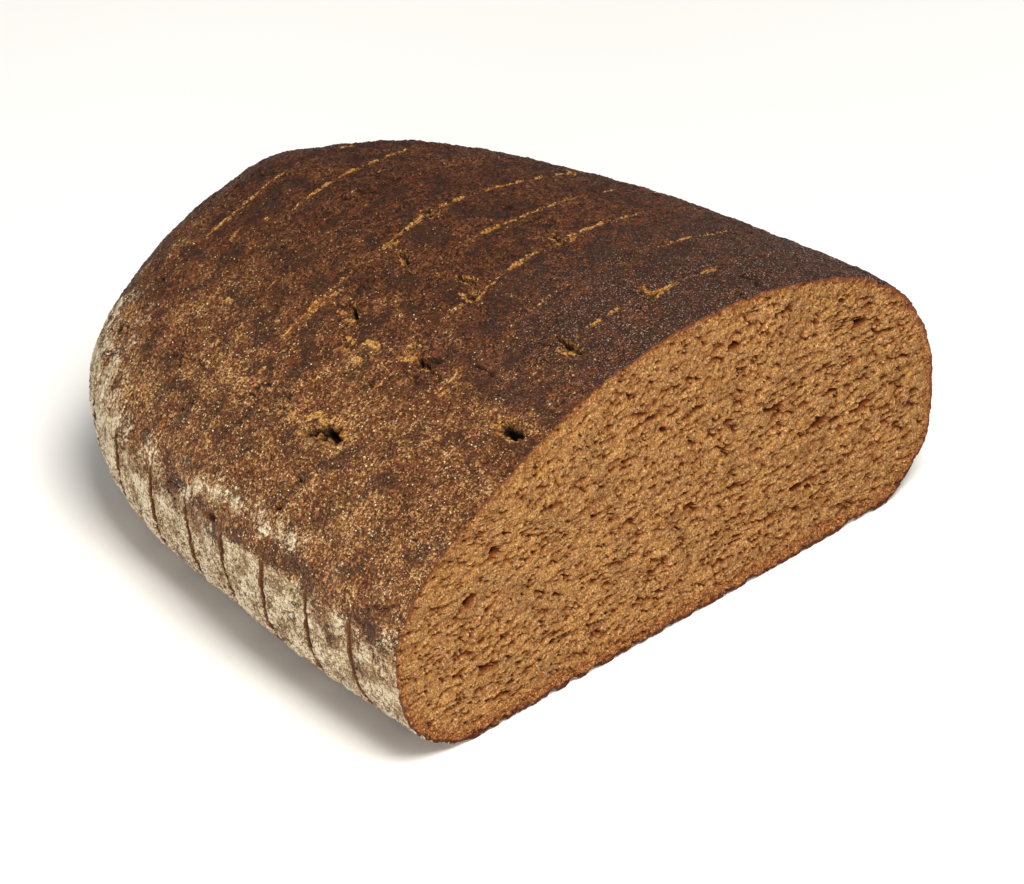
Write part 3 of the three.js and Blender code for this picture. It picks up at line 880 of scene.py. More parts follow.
def heel_mesh():
    """The heel: the square grid drawn over its end, from the last cut to the tip."""
    front = LAST_CUT + CAP_GAP / 2
    width_share = np.linspace(taper(front, LEFT_TAPER), 0, HEEL_PROFILE_STEPS)
    stations = TAPER_LENGTH * (1 - width_share ** LEFT_TAPER[1]) ** (1 / LEFT_TAPER[0])
    spread = (LOAF_WIDTH / 4 * (width_share + taper(stations, RIGHT_TAPER))
              + LOAF_HEIGHT / 2 * taper(stations, SIDE_TAPER)) / 2
    steps = np.hypot(np.diff(stations), np.diff(spread))
    way = np.concatenate([[0], np.cumsum(steps)]) / steps.sum()
    inward = 1 - GRID_SHARE
    inward = inward * (HEEL_RING_BIAS + (1 - HEEL_RING_BIAS) * inward)
    share_here = np.interp(inward, way, width_share)
    along = TAPER_LENGTH * (1 - share_here ** LEFT_TAPER[1]) ** (1 / LEFT_TAPER[0])
    points = loaf_point(GRID_TURN, along)
    quads, edge = grid_faces(True)
    measures, sink = crust_measures(points, GRID_TURN, along, [(SLICES, front)])
    mesh = make_mesh("heel_bread", points, [quads, [edge]], measures, len(quads))
    outward = outward_of(mesh, edge)
    place_points(mesh, points - outward * sink[:, None], outward)
    return mesh


plain["heel"] = heel_mesh()
print("heel", len(plain["heel"].polygons), "faces")

# %% [markdown]
# ## Relief that follows the surface
#
# Crust and crumb get their relief from one Geometry Nodes tree, because each height obeys
# a rule. Crust is grainy and lumpy, with a few fine cracks, and its flour coat has broken
# into flakes. Crumb is torn in rows that run along the loaf's base: the blade drags it
# down, so every row has an overhanging upper lip with a hollow beneath. Each height is made
# in millimetres and pushes the point along its own outward direction. A Displace modifier
# could do the crust, but it couldn't tell crumb from crust or keep the cuts flat.

# %% The relief tree
RELIEF_SIZES = {"Pebble size": 4.4, "Pebble height": 0.7, "Grain size": 0.9, "Grain height": 0.9,
                "Crack depth": 0.45, "Flake size": 1.6, "Flake height": 0.5, "Row pitch": 2.4,
                "Row depth": 0.45, "Scale depth": 1.2, "Pore depth": 0.95, "Crumb grain": 1.6}

relief = bpy.data.node_groups.new("baked_and_torn_relief", "GeometryNodeTree")
relief.interface.new_socket("Geometry", in_out="INPUT", socket_type="NodeSocketGeometry")
for name, size in RELIEF_SIZES.items():
    relief.interface.new_socket(name, in_out="INPUT", socket_type="NodeSocketFloat").default_value = size
for name in ("Crumb material", "Crust material"):
    relief.interface.new_socket(name, in_out="INPUT", socket_type="NodeSocketMaterial")
relief.interface.new_socket("Geometry", in_out="OUTPUT", socket_type="NodeSocketGeometry")
given = add(relief, "NodeGroupInput").outputs
MEASURES_READ = {"flour_reach": "FLOAT", "rim": "FLOAT", "open_face": "FLOAT",
                 "outward": "FLOAT_VECTOR", "crust_face": "BOOLEAN"}
read = {name: add(relief, "GeometryNodeInputNamedAttribute", {"Name": name}, data_type=kind)
        for name, kind in MEASURES_READ.items()}
scale = {name: add(relief, "ShaderNodeMath", {0: 1.0, 1: given[name]}, operation="DIVIDE")
         for name in ("Pebble size", "Grain size", "Flake size")}

place = add(relief, "ShaderNodeVectorMath", {0: add(relief, "GeometryNodeInputPosition"),
                                             "Scale": 1 / MM}, operation="SCALE")
axes = add(relief, "ShaderNodeSeparateXYZ", {0: place}).outputs
print(len(RELIEF_SIZES), "named sizes")

# %% [markdown]
# The crust's height adds two kinds of noise, pebbles and grain, and takes off the cracks and
# the gaps between flakes of flour. Noise runs from 0 to 1, so a half is taken off to let it
# rise and fall about the surface. A crack is where a slow noise passes through its middle
# value: that set of points is a thin wandering line.

# %% Crust height
pebble_noise = add(relief, "ShaderNodeTexNoise", {"Vector": place, "Scale": scale["Pebble size"],
                                                  "Detail": 1.0})
pebble_rise = add(relief, "ShaderNodeMath", {0: pebble_noise, 1: 0.5}, operation="SUBTRACT")
pebbles = add(relief, "ShaderNodeMath", {0: pebble_rise, 1: given["Pebble height"]}, operation="MULTIPLY")
grain_noise = add(relief, "ShaderNodeTexNoise", {"Vector": place, "Scale": scale["Grain size"],
                                                 "Detail": 2.0, "Roughness": 0.6})
grain_rise = add(relief, "ShaderNodeMath", {0: grain_noise, 1: 0.5}, operation="SUBTRACT")
crust_height = add(relief, "ShaderNodeMath", {0: grain_rise, 1: given["Grain height"], 2: pebbles},
                   operation="MULTIPLY_ADD")

crack_noise = add(relief, "ShaderNodeTexNoise", {"Vector": place, "Scale": 1 / 7.0, "Detail": 3.0,
                                                 "Distortion": 0.4})
crack_line = add(relief, "ShaderNodeMath", {0: crack_noise, 1: 0.5, 2: 0.011}, operation="COMPARE")
crack_zone = add(relief, "ShaderNodeTexNoise", {"Vector": place, "Scale": 1 / 11.0, "Detail": 1.0})
crack_here = add(relief, "ShaderNodeMapRange", {"Value": crack_zone, "From Min": 0.56, "From Max": 0.64})
crack = add(relief, "ShaderNodeMath", {0: crack_line, 1: crack_here}, operation="MULTIPLY")
crack_fall = add(relief, "ShaderNodeMath", {0: crack, 1: given["Crack depth"]}, operation="MULTIPLY")

flake_noise = add(relief, "ShaderNodeTexNoise", {"Vector": place, "Scale": scale["Flake size"],
                                                 "Detail": 3.0, "Roughness": 0.65})
flake_edge = add(relief, "ShaderNodeMapRange", {"Value": flake_noise, "From Min": 0.52, "From Max": 0.42})
floured = add(relief, "ShaderNodeMapRange", {"Value": read["flour_reach"], "From Min": 0.35,
                                             "From Max": 0.75})
flake_gap = add(relief, "ShaderNodeMath", {0: flake_edge, 1: floured}, operation="MULTIPLY")
flake_deep = add(relief, "ShaderNodeMath", {0: given["Flake height"], 1: 0.5}, operation="MULTIPLY")
flake_fall = add(relief, "ShaderNodeMath", {0: flake_gap, 1: flake_deep, 2: crack_fall},
                 operation="MULTIPLY_ADD")
crust_level = add(relief, "ShaderNodeMath", {0: crust_height, 1: flake_fall}, operation="SUBTRACT")
print("crust height ready")

# %% [markdown]
# The crumb's depth starts with long rows. Their phase wanders with noise, so they wave and
# break, and a patchy mask leaves whole stretches nearly smooth. Over them lie scales, one
# to each cell of a Voronoi pattern that is wider than high: a scale's floor slopes down
# towards its upper edge and ends there in a steep lip. The place within a cell is the
# point's own place less the cell's centre.

# %% Torn rows and scales
torn_place = add(relief, "ShaderNodeVectorMath", {0: place, 1: (1 / 1.1, 0.0, 1 / 0.9)}, operation="MULTIPLY")
torn_warp = add(relief, "ShaderNodeTexNoise", {"Vector": torn_place, "Scale": 1.0, "Detail": 2.0})
warp_centred = add(relief, "ShaderNodeVectorMath", {0: torn_warp.outputs["Color"], 1: (0.5, 0.5, 0.5)},
                   operation="SUBTRACT")
warp_step = add(relief, "ShaderNodeVectorMath", {0: warp_centred, 1: (1.6, 0.0, 1.3)}, operation="MULTIPLY")
warped = add(relief, "ShaderNodeVectorMath", {0: place, 1: warp_step}, operation="ADD")
warped_axes = add(relief, "ShaderNodeSeparateXYZ", {0: warped}).outputs

sweep_place = add(relief, "ShaderNodeVectorMath", {0: place, 1: (1 / 14.0, 0.0, 1 / 6.0)},
                  operation="MULTIPLY")
sweep = add(relief, "ShaderNodeTexNoise", {"Vector": sweep_place, "Scale": 1.0, "Detail": 2.0})
row_place = add(relief, "ShaderNodeMath", {0: warped_axes[2], 1: given["Row pitch"]}, operation="DIVIDE")
row_phase = add(relief, "ShaderNodeMath", {0: sweep, 1: 3.0, 2: row_place}, operation="MULTIPLY_ADD")
row_saw = add(relief, "ShaderNodeMath", {0: row_phase}, operation="FRACT")
row_shape = add(relief, "ShaderNodeMath", {0: row_saw, 1: 2.0}, operation="POWER")
patch_place = add(relief, "ShaderNodeVectorMath", {0: place, 1: (1 / 4.5, 0.0, 1 / 2.0)},
                  operation="MULTIPLY")
patches = add(relief, "ShaderNodeTexNoise", {"Vector": patch_place, "Scale": 1.0, "Detail": 2.0})
patchy = add(relief, "ShaderNodeMapRange", {"Value": patches, "From Min": 0.44, "From Max": 0.60})
row_mask = add(relief, "ShaderNodeMath", {0: row_shape, 1: patchy}, operation="MULTIPLY")
rows_deep = add(relief, "ShaderNodeMath", {0: row_mask, 1: given["Row depth"]}, operation="MULTIPLY")

scale_place = add(relief, "ShaderNodeVectorMath", {0: warped, 1: (1 / 1.6, 0.0, 1 / 1.2)},
                  operation="MULTIPLY")
scale_cells = add(relief, "ShaderNodeTexVoronoi", {"Vector": scale_place, "Scale": 1.0}, feature="F1")
scale_draw = add(relief, "FunctionNodeSeparateColor", {0: scale_cells.outputs["Color"]}).outputs
scale_local = add(relief, "ShaderNodeVectorMath", {0: scale_place, 1: scale_cells.outputs["Position"]},
                  operation="SUBTRACT")
scale_up = add(relief, "ShaderNodeSeparateXYZ", {0: scale_local}).outputs
scale_ramp = add(relief, "ShaderNodeMapRange", {"Value": scale_up[2], "From Min": -0.25, "From Max": 0.5})
scale_there = add(relief, "ShaderNodeMapRange", {"Value": scale_draw[0], "From Min": 0.45, "From Max": 0.95,
                                                 "To Min": 0.0, "To Max": 1.1})
scale_cut = add(relief, "ShaderNodeMath", {0: scale_ramp, 1: scale_there}, operation="MULTIPLY")
scales_deep = add(relief, "ShaderNodeMath", {0: scale_cut, 1: given["Scale depth"], 2: rows_deep},
                  operation="MULTIPLY_ADD")
print("rows and scales ready")

# %% [markdown]
# Small pores are another, finer Voronoi pattern, with a hole of its own size in each cell
# and none in many. On the left the crumb has shallower scales and deeper, rounder pores. It
# is denser and finer near the crust, so everything calms down within a few millimetres of
# it, and it stops at the rim, where the edge has to meet the crust point for point.

# %% Small pores and calm places
pore_place = add(relief, "ShaderNodeVectorMath", {0: warped, 1: (1 / 1.0, 0.0, 1 / 0.8)},
                 operation="MULTIPLY")
pore_cells = add(relief, "ShaderNodeTexVoronoi", {"Vector": pore_place, "Scale": 1.0}, feature="F1")
pore_draw = add(relief, "FunctionNodeSeparateColor", {0: pore_cells.outputs["Color"]}).outputs
pore_radius = add(relief, "ShaderNodeMapRange", {"Value": pore_draw[0], "From Min": 0.3, "From Max": 1.0,
                                                 "To Min": 0.0, "To Max": 0.48})
pore_edge = add(relief, "ShaderNodeMath", {0: pore_radius, 1: pore_cells}, operation="SUBTRACT")
pore_open = add(relief, "ShaderNodeMapRange", {"Value": pore_edge, "From Min": 0.0, "From Max": 0.14})
calm_left = add(relief, "ShaderNodeMapRange", {"Value": axes[0], "From Min": -35.0, "From Max": 12.0,
                                               "To Min": 0.85, "To Max": 1.0})
torn_deep = add(relief, "ShaderNodeMath", {0: scales_deep, 1: calm_left}, operation="MULTIPLY")
pore_side = add(relief, "ShaderNodeMapRange", {"Value": axes[0], "From Min": -35.0, "From Max": 12.0,
                                               "To Min": 1.5, "To Max": 1.0})
pore_deep = add(relief, "ShaderNodeMath", {0: pore_side, 1: given["Pore depth"]}, operation="MULTIPLY")
pores_deep = add(relief, "ShaderNodeMath", {0: pore_open, 1: pore_deep, 2: torn_deep},
                 operation="MULTIPLY_ADD")
calm = add(relief, "ShaderNodeMapRange", {"Value": read["rim"], "From Min": 0.5, "From Max": 5.0,
                                          "To Min": 0.6, "To Max": 1.0})
calm_depth = add(relief, "ShaderNodeMath", {0: pores_deep, 1: calm}, operation="MULTIPLY")
fine_noise = add(relief, "ShaderNodeTexNoise", {"Vector": place, "Scale": 1 / 1.2, "Detail": 3.0,
                                                "Roughness": 0.6})
fine_fall = add(relief, "ShaderNodeMath", {0: 0.5, 1: fine_noise}, operation="SUBTRACT")
crumb_depth = add(relief, "ShaderNodeMath", {0: fine_fall, 1: given["Crumb grain"], 2: calm_depth},
                  operation="MULTIPLY_ADD")
edge_fade = add(relief, "ShaderNodeMapRange", {"Value": read["rim"], "From Min": 0.0, "From Max": 0.7})
crumb_fade = add(relief, "ShaderNodeMath", {0: edge_fade, 1: read["open_face"]}, operation="MULTIPLY")
crumb_sunk = add(relief, "ShaderNodeMath", {0: crumb_depth, 1: crumb_fade}, operation="MULTIPLY")
print("crumb depth ready")

# %% [markdown]
# The last nodes move the points. Crust goes along its outward direction, crumb goes into
# the loaf along Y, and nothing may sink below the table. The crumb's depth and the cracks
# are kept as attributes, because the materials paint shade into them: deep pits are drawn
# darker and redder, for the shadow in a pit and the light that reaches it through crumb,
# and cracks nearly black. Then each face gets its material.

# %% Move the points and set materials
crust_push = add(relief, "ShaderNodeMath", {0: crust_level, 1: MM}, operation="MULTIPLY")
crust_offset = add(relief, "ShaderNodeVectorMath", {0: read["outward"], "Scale": crust_push},
                   operation="SCALE")
crumb_push = add(relief, "ShaderNodeMath", {0: crumb_sunk, 1: MM}, operation="MULTIPLY")
crumb_offset = add(relief, "ShaderNodeCombineXYZ", {"Y": crumb_push})
both = add(relief, "ShaderNodeVectorMath", {0: crust_offset, 1: crumb_offset}, operation="ADD")
pits = add(relief, "GeometryNodeStoreNamedAttribute",
           {"Geometry": given["Geometry"], "Name": "pit", "Value": crumb_sunk}, data_type="FLOAT")
cracks = add(relief, "GeometryNodeStoreNamedAttribute",
             {"Geometry": pits, "Name": "crack", "Value": crack}, data_type="FLOAT")
moved = add(relief, "GeometryNodeSetPosition", {"Geometry": cracks, "Offset": both})
now = add(relief, "ShaderNodeSeparateXYZ", {0: add(relief, "GeometryNodeInputPosition")}).outputs
on_table = add(relief, "ShaderNodeMath", {0: now[2], 1: 0.0}, operation="MAXIMUM")
rest_place = add(relief, "ShaderNodeCombineXYZ", {"X": now[0], "Y": now[1], "Z": on_table})
rested = add(relief, "GeometryNodeSetPosition", {"Geometry": moved, "Position": rest_place})
whole = add(relief, "GeometryNodeRealizeInstances", {"Geometry": rested})
crumb_set = add(relief, "GeometryNodeSetMaterial", {"Geometry": whole, "Material": given["Crumb material"]})
crust_set = add(relief, "GeometryNodeSetMaterial", {"Geometry": crumb_set, "Selection": read["crust_face"],
                                                    "Material": given["Crust material"]})
add(relief, "NodeGroupOutput", {"Geometry": crust_set})
print(len(relief.nodes), "nodes in the relief tree")

# %% [markdown]
# ## Steps that both finishes share
#
# Bread has no coating that could be one colour. Both finishes are built up like glazes on a
# cake: a base colour, then patch after patch laid over it wherever some pattern passes a
# limit. Three functions do what both need: they start a material and measure the place on
# the loaf in millimetres, lay one colour over another, and set the gloss and the bump. The
# colours could also be joined by one large ramp, but then no patch could cross another.

# %% Start, lay over and finish
DULL_SPECULAR = 0.25


def start_material(name):
    """A new material with its tree, and the place on the loaf in mm."""
    material = bpy.data.materials.new(name)
    material.use_nodes = True
    where = add(material.node_tree, "ShaderNodeTexCoord").outputs["Object"]
    in_mm = add(material.node_tree, "ShaderNodeVectorMath", {0: where, "Scale": 1 / MM}, operation="SCALE")
    return material, material.node_tree, in_mm


def laid_over(under, colour, level, start, full, most=1.0):
    """One colour over another: none where the level is at start, the most where it is full."""
    tree = level.id_data
    share = add(tree, "ShaderNodeMapRange", {"Value": level, "From Min": start, "From Max": full,
                                             "To Max": most})
    return add(tree, "ShaderNodeMix", {"Factor": share, "A": under, "B": colour}, data_type="RGBA")


def finish_material(tree, colour, roughness, height, depth, ior):
    """Links colour, roughness and a bump of that depth in mm, and sets the plain values."""
    bump = add(tree, "ShaderNodeBump", {"Height": height, "Strength": 1.0, "Distance": depth * MM})
    shader = tree.nodes["Principled BSDF"]
    for name, node in (("Base Color", colour), ("Roughness", roughness), ("Normal", bump)):
        tree.links.new(next(output for output in node.outputs if output.enabled), shader.inputs[name])
    shader.inputs["IOR"].default_value = ior
    shader.inputs["Specular IOR Level"].default_value = DULL_SPECULAR


print("steps for both finishes ready")

# %% [markdown]
# ## Crumb: torn dark rye
#
# Rye crumb is dense and moist. A blade leaves it matt and grainy, with a sugary glint where
# a bit of bran or swollen starch faces the light. The colour is a fine noise through a
# narrow ramp of baked browns. Golden and reddish patches are coarse meal; the reddish noise
# is read from a place shifted by a few centimetres, so the two don't fall together. A few
# seeds show as dots. Pores too small for the mesh get painted shade: they are drawn as brown
# specks, and the bump sinks them too. Pits get painted shade as well, turning towards
# red-brown and then nearly black.

# %% Crumb browns, meal and seeds
crumb, tree, spot = start_material("torn_dark_rye_crumb")
fine = add(tree, "ShaderNodeTexNoise", {"Vector": spot, "Scale": 1 / 0.35, "Detail": 3.0, "Roughness": 0.6})
browns = add(tree, "ShaderNodeValToRGB", {0: fine},
             stops=[(0.30, "724014"), (0.41, "895824"), (0.51, "9B6C3A"), (0.61, "B08A58"), (0.73, "D2B994")])
cloudy = add(tree, "ShaderNodeTexNoise", {"Vector": spot, "Scale": 1 / 8.0, "Detail": 3.0, "Roughness": 0.7})
cloud_light = add(tree, "ShaderNodeMapRange", {"Value": cloudy, "From Min": 0.3, "From Max": 0.7,
                                               "To Min": 0.76, "To Max": 1.24})
toned = add(tree, "ShaderNodeVectorMath", {0: browns, "Scale": cloud_light}, operation="SCALE")

golden = add(tree, "ShaderNodeTexNoise", {"Vector": spot, "Scale": 1 / 2.3, "Detail": 3.0, "Roughness": 0.6})
gilded = laid_over(toned, srgb("C49444"), golden, 0.57, 0.68, most=0.25)
reddish_place = add(tree, "ShaderNodeVectorMath", {0: spot, 1: (31.0, 7.0, 53.0)}, operation="ADD")
reddish = add(tree, "ShaderNodeTexNoise", {"Vector": reddish_place, "Scale": 1 / 2.0, "Detail": 3.0,
                                           "Roughness": 0.6})
mealy = laid_over(gilded, srgb("7C4430"), reddish, 0.57, 0.68, most=0.28)

seeds = add(tree, "ShaderNodeTexVoronoi", {"Vector": spot, "Scale": 1 / 1.9}, feature="F1")
seed_draw = add(tree, "ShaderNodeSeparateColor", {0: seeds.outputs["Color"]}).outputs
seed_near = add(tree, "ShaderNodeMapRange", {"Value": seeds, "From Min": 0.34, "From Max": 0.22})
seed_rare = add(tree, "ShaderNodeMath", {0: seed_draw[0], 1: 0.86}, operation="GREATER_THAN")
seed_mask = add(tree, "ShaderNodeMath", {0: seed_near, 1: seed_rare}, operation="MULTIPLY")
seed_colour = add(tree, "ShaderNodeValToRGB", {0: seed_draw[1]},
                  stops=[(0.0, "5A2F24"), (0.4, "8F4F22"), (0.6, "A87838"), (1.0, "C89A50")])
seeded = add(tree, "ShaderNodeMix", {"Factor": seed_mask, "A": mealy, "B": seed_colour}, data_type="RGBA")

# Painted shade: pores too small for the mesh are drawn as brown specks; the same mask also sinks them in the
# bump.
speck_bend = add(tree, "ShaderNodeMath", {0: fine, 1: 0.5}, operation="MULTIPLY")
specks = add(tree, "ShaderNodeTexVoronoi", {"Vector": spot, "Scale": 1 / 0.75}, feature="F1")
speck_draw = add(tree, "ShaderNodeSeparateColor", {0: specks.outputs["Color"]}).outputs
speck_size = add(tree, "ShaderNodeMapRange", {"Value": speck_draw[0], "From Min": 0.35, "From Max": 1.0,
                                              "To Min": 0.18, "To Max": 0.62})
speck_away = add(tree, "ShaderNodeMath", {0: specks, 1: speck_bend}, operation="ADD")
speck_level = add(tree, "ShaderNodeMath", {0: speck_size, 1: speck_away}, operation="SUBTRACT")
speck_mask = add(tree, "ShaderNodeMapRange", {"Value": speck_level, "From Min": -0.05, "From Max": 0.12})
pore_speck_shaded = laid_over(seeded, srgb("6A3210"), speck_mask, 0.0, 1.0, most=0.7)
# Painted shade: deep pits and large pores are drawn red-brown, the deepest nearly black.
pit_read = add(tree, "ShaderNodeAttribute", attribute_name="pit")
hole_read = add(tree, "ShaderNodeAttribute", attribute_name="hole")
pit_shade_depth = add(tree, "ShaderNodeMath", {0: pit_read.outputs["Fac"], 1: hole_read.outputs["Fac"]},
               operation="ADD")
pit_shaded = laid_over(pore_speck_shaded, srgb("6E3206"), pit_shade_depth, 0.10, 0.65, most=0.88)
pit_shadow_painted = laid_over(pit_shaded, srgb("260D03"), pit_shade_depth, 1.1, 1.9, most=0.95)
print("crumb browns ready")

# %% [markdown]
# Towards the crust the crumb has baked hotter: it turns orange and rusty within two or
# three millimetres, in an uneven band, and ends in the crust itself, which is seen edge on
# as a line, thin and red-brown on the crown, thicker and darker at the base. The rough
# surface is a bump of a quarter of a millimetre, since grit that small needs no mesh.

# %% Baked rim and gloss of the crumb
rim_read = add(tree, "ShaderNodeAttribute", attribute_name="rim")
face_sides = add(tree, "ShaderNodeSeparateXYZ", {0: spot}).outputs
rim_noise = add(tree, "ShaderNodeTexNoise", {"Vector": spot, "Scale": 1 / 1.4, "Detail": 4.0,
                                             "Roughness": 0.65})
rim_wobble = add(tree, "ShaderNodeMath", {0: rim_noise, 1: -3.4, 2: rim_read.outputs["Fac"]},
                 operation="MULTIPLY_ADD")
warm_reach = add(tree, "ShaderNodeMapRange", {"Value": face_sides[2], "From Min": 16.0, "From Max": 3.0,
                                              "To Min": 0.9, "To Max": -1.2})
warm_level = add(tree, "ShaderNodeMath", {0: rim_wobble, 1: warm_reach}, operation="ADD")
warm_colour = add(tree, "ShaderNodeValToRGB", {0: fine},
                  stops=[(0.36, "52260F"), (0.46, "76401C"), (0.56, "9A602E"), (0.68, "CA985A")])
warmed = laid_over(pit_shadow_painted, warm_colour, warm_level, 1.9, -0.7, most=0.9)
low_down = add(tree, "ShaderNodeMapRange", {"Value": face_sides[2], "From Min": 7.0, "From Max": 1.0,
                                            "To Min": -1.1, "To Max": -0.8})
crust_near = add(tree, "ShaderNodeMath", {0: low_down, 1: rim_wobble}, operation="SUBTRACT")
crust_edge = laid_over(srgb("4A2210"), srgb("6C3A22"), face_sides[2], 6.0, 20.0)
crusted = laid_over(warmed, crust_edge, crust_near, 0.0, 0.3)

crumb_rough = add(tree, "ShaderNodeMapRange", {"Value": fine, "From Min": 0.5, "From Max": 0.75,
                                               "To Min": 0.8, "To Max": 0.48})
grit = add(tree, "ShaderNodeTexNoise", {"Vector": spot, "Scale": 1 / 0.4, "Detail": 3.0, "Roughness": 0.7})
grit_pits = add(tree, "ShaderNodeMath", {0: speck_mask, 1: -0.9, 2: grit}, operation="MULTIPLY_ADD")
finish_material(tree, crusted, crumb_rough, grit_pits, depth=0.28, ior=1.45)
print("crumb material:", len(tree.nodes), "nodes")

# %% [markdown]
# ## Crust: baked rye, floured at the flanks
#
# The crust was brushed with water and baked dark. Seen close it is a mosaic of flakes a third
# of a millimetre wide: plum-brown skin, rust-brown and orange flakes, golden specks of bran
# and a few cream grains. A Voronoi pattern gives each flake a random number, and a ramp
# turns the number into a colour. Noise bends the cells first, so they don't look like
# tiles. The same numbers tilt the flakes a little, and some of them are glossy.

# %% Crust mosaic
crust, tree, spot = start_material("dark_baked_rye_crust")
sides = add(tree, "ShaderNodeSeparateXYZ", {0: spot}).outputs
bend = add(tree, "ShaderNodeTexNoise", {"Vector": spot, "Scale": 1 / 0.6, "Detail": 3.0})
bend_centred = add(tree, "ShaderNodeVectorMath", {0: bend.outputs["Color"], 1: (0.5, 0.5, 0.5)},
                   operation="SUBTRACT")
bend_step = add(tree, "ShaderNodeVectorMath", {0: bend_centred, "Scale": 0.3}, operation="SCALE")
bent = add(tree, "ShaderNodeVectorMath", {0: spot, 1: bend_step}, operation="ADD")
flakes = add(tree, "ShaderNodeTexVoronoi", {"Vector": bent, "Scale": 1 / 0.32}, feature="F1")
flake_draw = add(tree, "ShaderNodeSeparateColor", {0: flakes.outputs["Color"]}).outputs

skin = add(tree, "ShaderNodeTexNoise", {"Vector": spot, "Scale": 1 / 1.5, "Detail": 4.0, "Roughness": 0.7})
region = add(tree, "ShaderNodeTexNoise", {"Vector": spot, "Scale": 1 / 9.0, "Detail": 4.0, "Roughness": 0.6})
region_shift = add(tree, "ShaderNodeMapRange", {"Value": region, "From Min": 0.3, "From Max": 0.7,
                                                "To Min": -0.11, "To Max": 0.11})
side_shift = add(tree, "ShaderNodeMapRange", {"Value": sides[0], "From Min": -45.0, "From Max": -16.0,
                                              "To Min": 0.05, "To Max": -0.18})
shift = add(tree, "ShaderNodeMath", {0: region_shift, 1: side_shift}, operation="ADD")
skin_level = add(tree, "ShaderNodeMath", {0: skin, 1: 0.5, 2: shift}, operation="MULTIPLY_ADD")
flake_level = add(tree, "ShaderNodeMath", {0: flake_draw[0], 1: 0.7, 2: skin_level},
                  operation="MULTIPLY_ADD")
skin_colour = add(tree, "ShaderNodeValToRGB", {0: flake_level},
                  stops=[(0.16, "2A0E05"), (0.30, "401A0A"), (0.44, "542A15"), (0.58, "66381F"),
                         (0.72, "78462A"), (0.86, "966A40"), (0.97, "D0AE78")])
print("crust mosaic ready")

# %% [markdown]
# Tints break the mosaic up in larger patches: plum where the skin is smooth, rust where it
# baked hottest, and a drift of hue from red to gold. The right side of the crown near the
# cut was brushed twice, so most of it is plum. A mix of the kind Color takes over the hue of
# a patch and leaves the light and dark of the flakes below.

# %% Tints of the crust
front = add(tree, "ShaderNodeMapRange", {"Value": sides[1], "From Min": -18.0, "From Max": -42.0})
right_side = add(tree, "ShaderNodeMapRange", {"Value": sides[0], "From Min": -34.0, "From Max": -8.0})
plum_and_glint_zone = add(tree, "ShaderNodeMath", {0: front, 1: right_side}, operation="MULTIPLY")
plum = add(tree, "ShaderNodeTexNoise", {"Vector": spot, "Scale": 1 / 5.0, "Detail": 5.0, "Roughness": 0.6})
plum_level = add(tree, "ShaderNodeMath", {0: plum_and_glint_zone, 1: 0.14, 2: plum}, operation="MULTIPLY_ADD")
plum_mask = add(tree, "ShaderNodeMapRange", {"Value": plum_level, "From Min": 0.50, "From Max": 0.60,
                                             "To Max": 0.7})
plummy = add(tree, "ShaderNodeMix", {"Factor": plum_mask, "A": skin_colour, "B": srgb("36211A")},
             data_type="RGBA")
rust_place = add(tree, "ShaderNodeVectorMath", {0: spot, 1: (17.0, 41.0, 5.0)}, operation="ADD")
rust = add(tree, "ShaderNodeTexNoise", {"Vector": rust_place, "Scale": 1 / 2.2, "Detail": 5.0,
                                        "Roughness": 0.7})
rusty = laid_over(plummy, srgb("743512"), rust, 0.53, 0.64, most=0.45)
hue_noise = add(tree, "ShaderNodeTexNoise", {"Vector": rust_place, "Scale": 1 / 1.8, "Detail": 4.0,
                                             "Roughness": 0.75})
hue_level = add(tree, "ShaderNodeMath", {0: flake_draw[1], 1: 0.3, 2: hue_noise}, operation="MULTIPLY_ADD")
hue = add(tree, "ShaderNodeValToRGB", {0: hue_level},
          stops=[(0.45, "5E362A"), (0.57, "70401F"), (0.68, "8C4418"), (0.80, "966A2A")])
varied = add(tree, "ShaderNodeMix", {"Factor": 0.45, "A": rusty, "B": hue}, data_type="RGBA",
             blend_type="COLOR")
print("crust tints ready")

# %% [markdown]
# Flecks of coarse meal are golden and lie thickest on the left. Cream grains are dust of
# flour that the water didn't wash off, fewer towards the right; the brightest of them also
# stand in for tiny glints, so they are partly painted highlights. Real dust is finer than a
# tenth of a millimetre, too fine to show, so its grains are drawn up to three tenths wide.
# Where the crust was brushed twice it is nearly free of meal, and small pale glints are
# painted on it: painted highlights of a grey cream.

# %% Meal, grains and painted glints of the crust
meal = add(tree, "ShaderNodeTexNoise", {"Vector": bent, "Scale": 1 / 0.6, "Detail": 4.0, "Roughness": 0.75})
meal_side = add(tree, "ShaderNodeMapRange", {"Value": sides[0], "From Min": -50.0, "From Max": 12.0,
                                             "To Min": 0.045, "To Max": -0.05})
meal_near = add(tree, "ShaderNodeMath", {0: plum_mask, 1: -0.07, 2: meal_side}, operation="MULTIPLY_ADD")
meal_cloud = add(tree, "ShaderNodeMath", {0: region, 1: 0.24, 2: meal_near}, operation="MULTIPLY_ADD")
meal_level = add(tree, "ShaderNodeMath", {0: meal, 1: meal_cloud}, operation="ADD")
meal_colour = add(tree, "ShaderNodeValToRGB", {0: flake_draw[2]},
                  stops=[(0.0, "6C421E"), (0.35, "94642E"), (0.65, "BE9450"), (1.0, "F0DAA2")])
flecked = laid_over(varied, meal_colour, meal_level, 0.72, 0.75, most=0.9)
grains = add(tree, "ShaderNodeTexVoronoi", {"Vector": spot, "Scale": 1 / 0.45}, feature="F1")
grain_draw = add(tree, "ShaderNodeSeparateColor", {0: grains.outputs["Color"]}).outputs
grain_side = add(tree, "ShaderNodeMapRange", {"Value": sides[0], "From Min": -48.0, "From Max": 5.0,
                                              "To Min": 0.07, "To Max": -0.24})
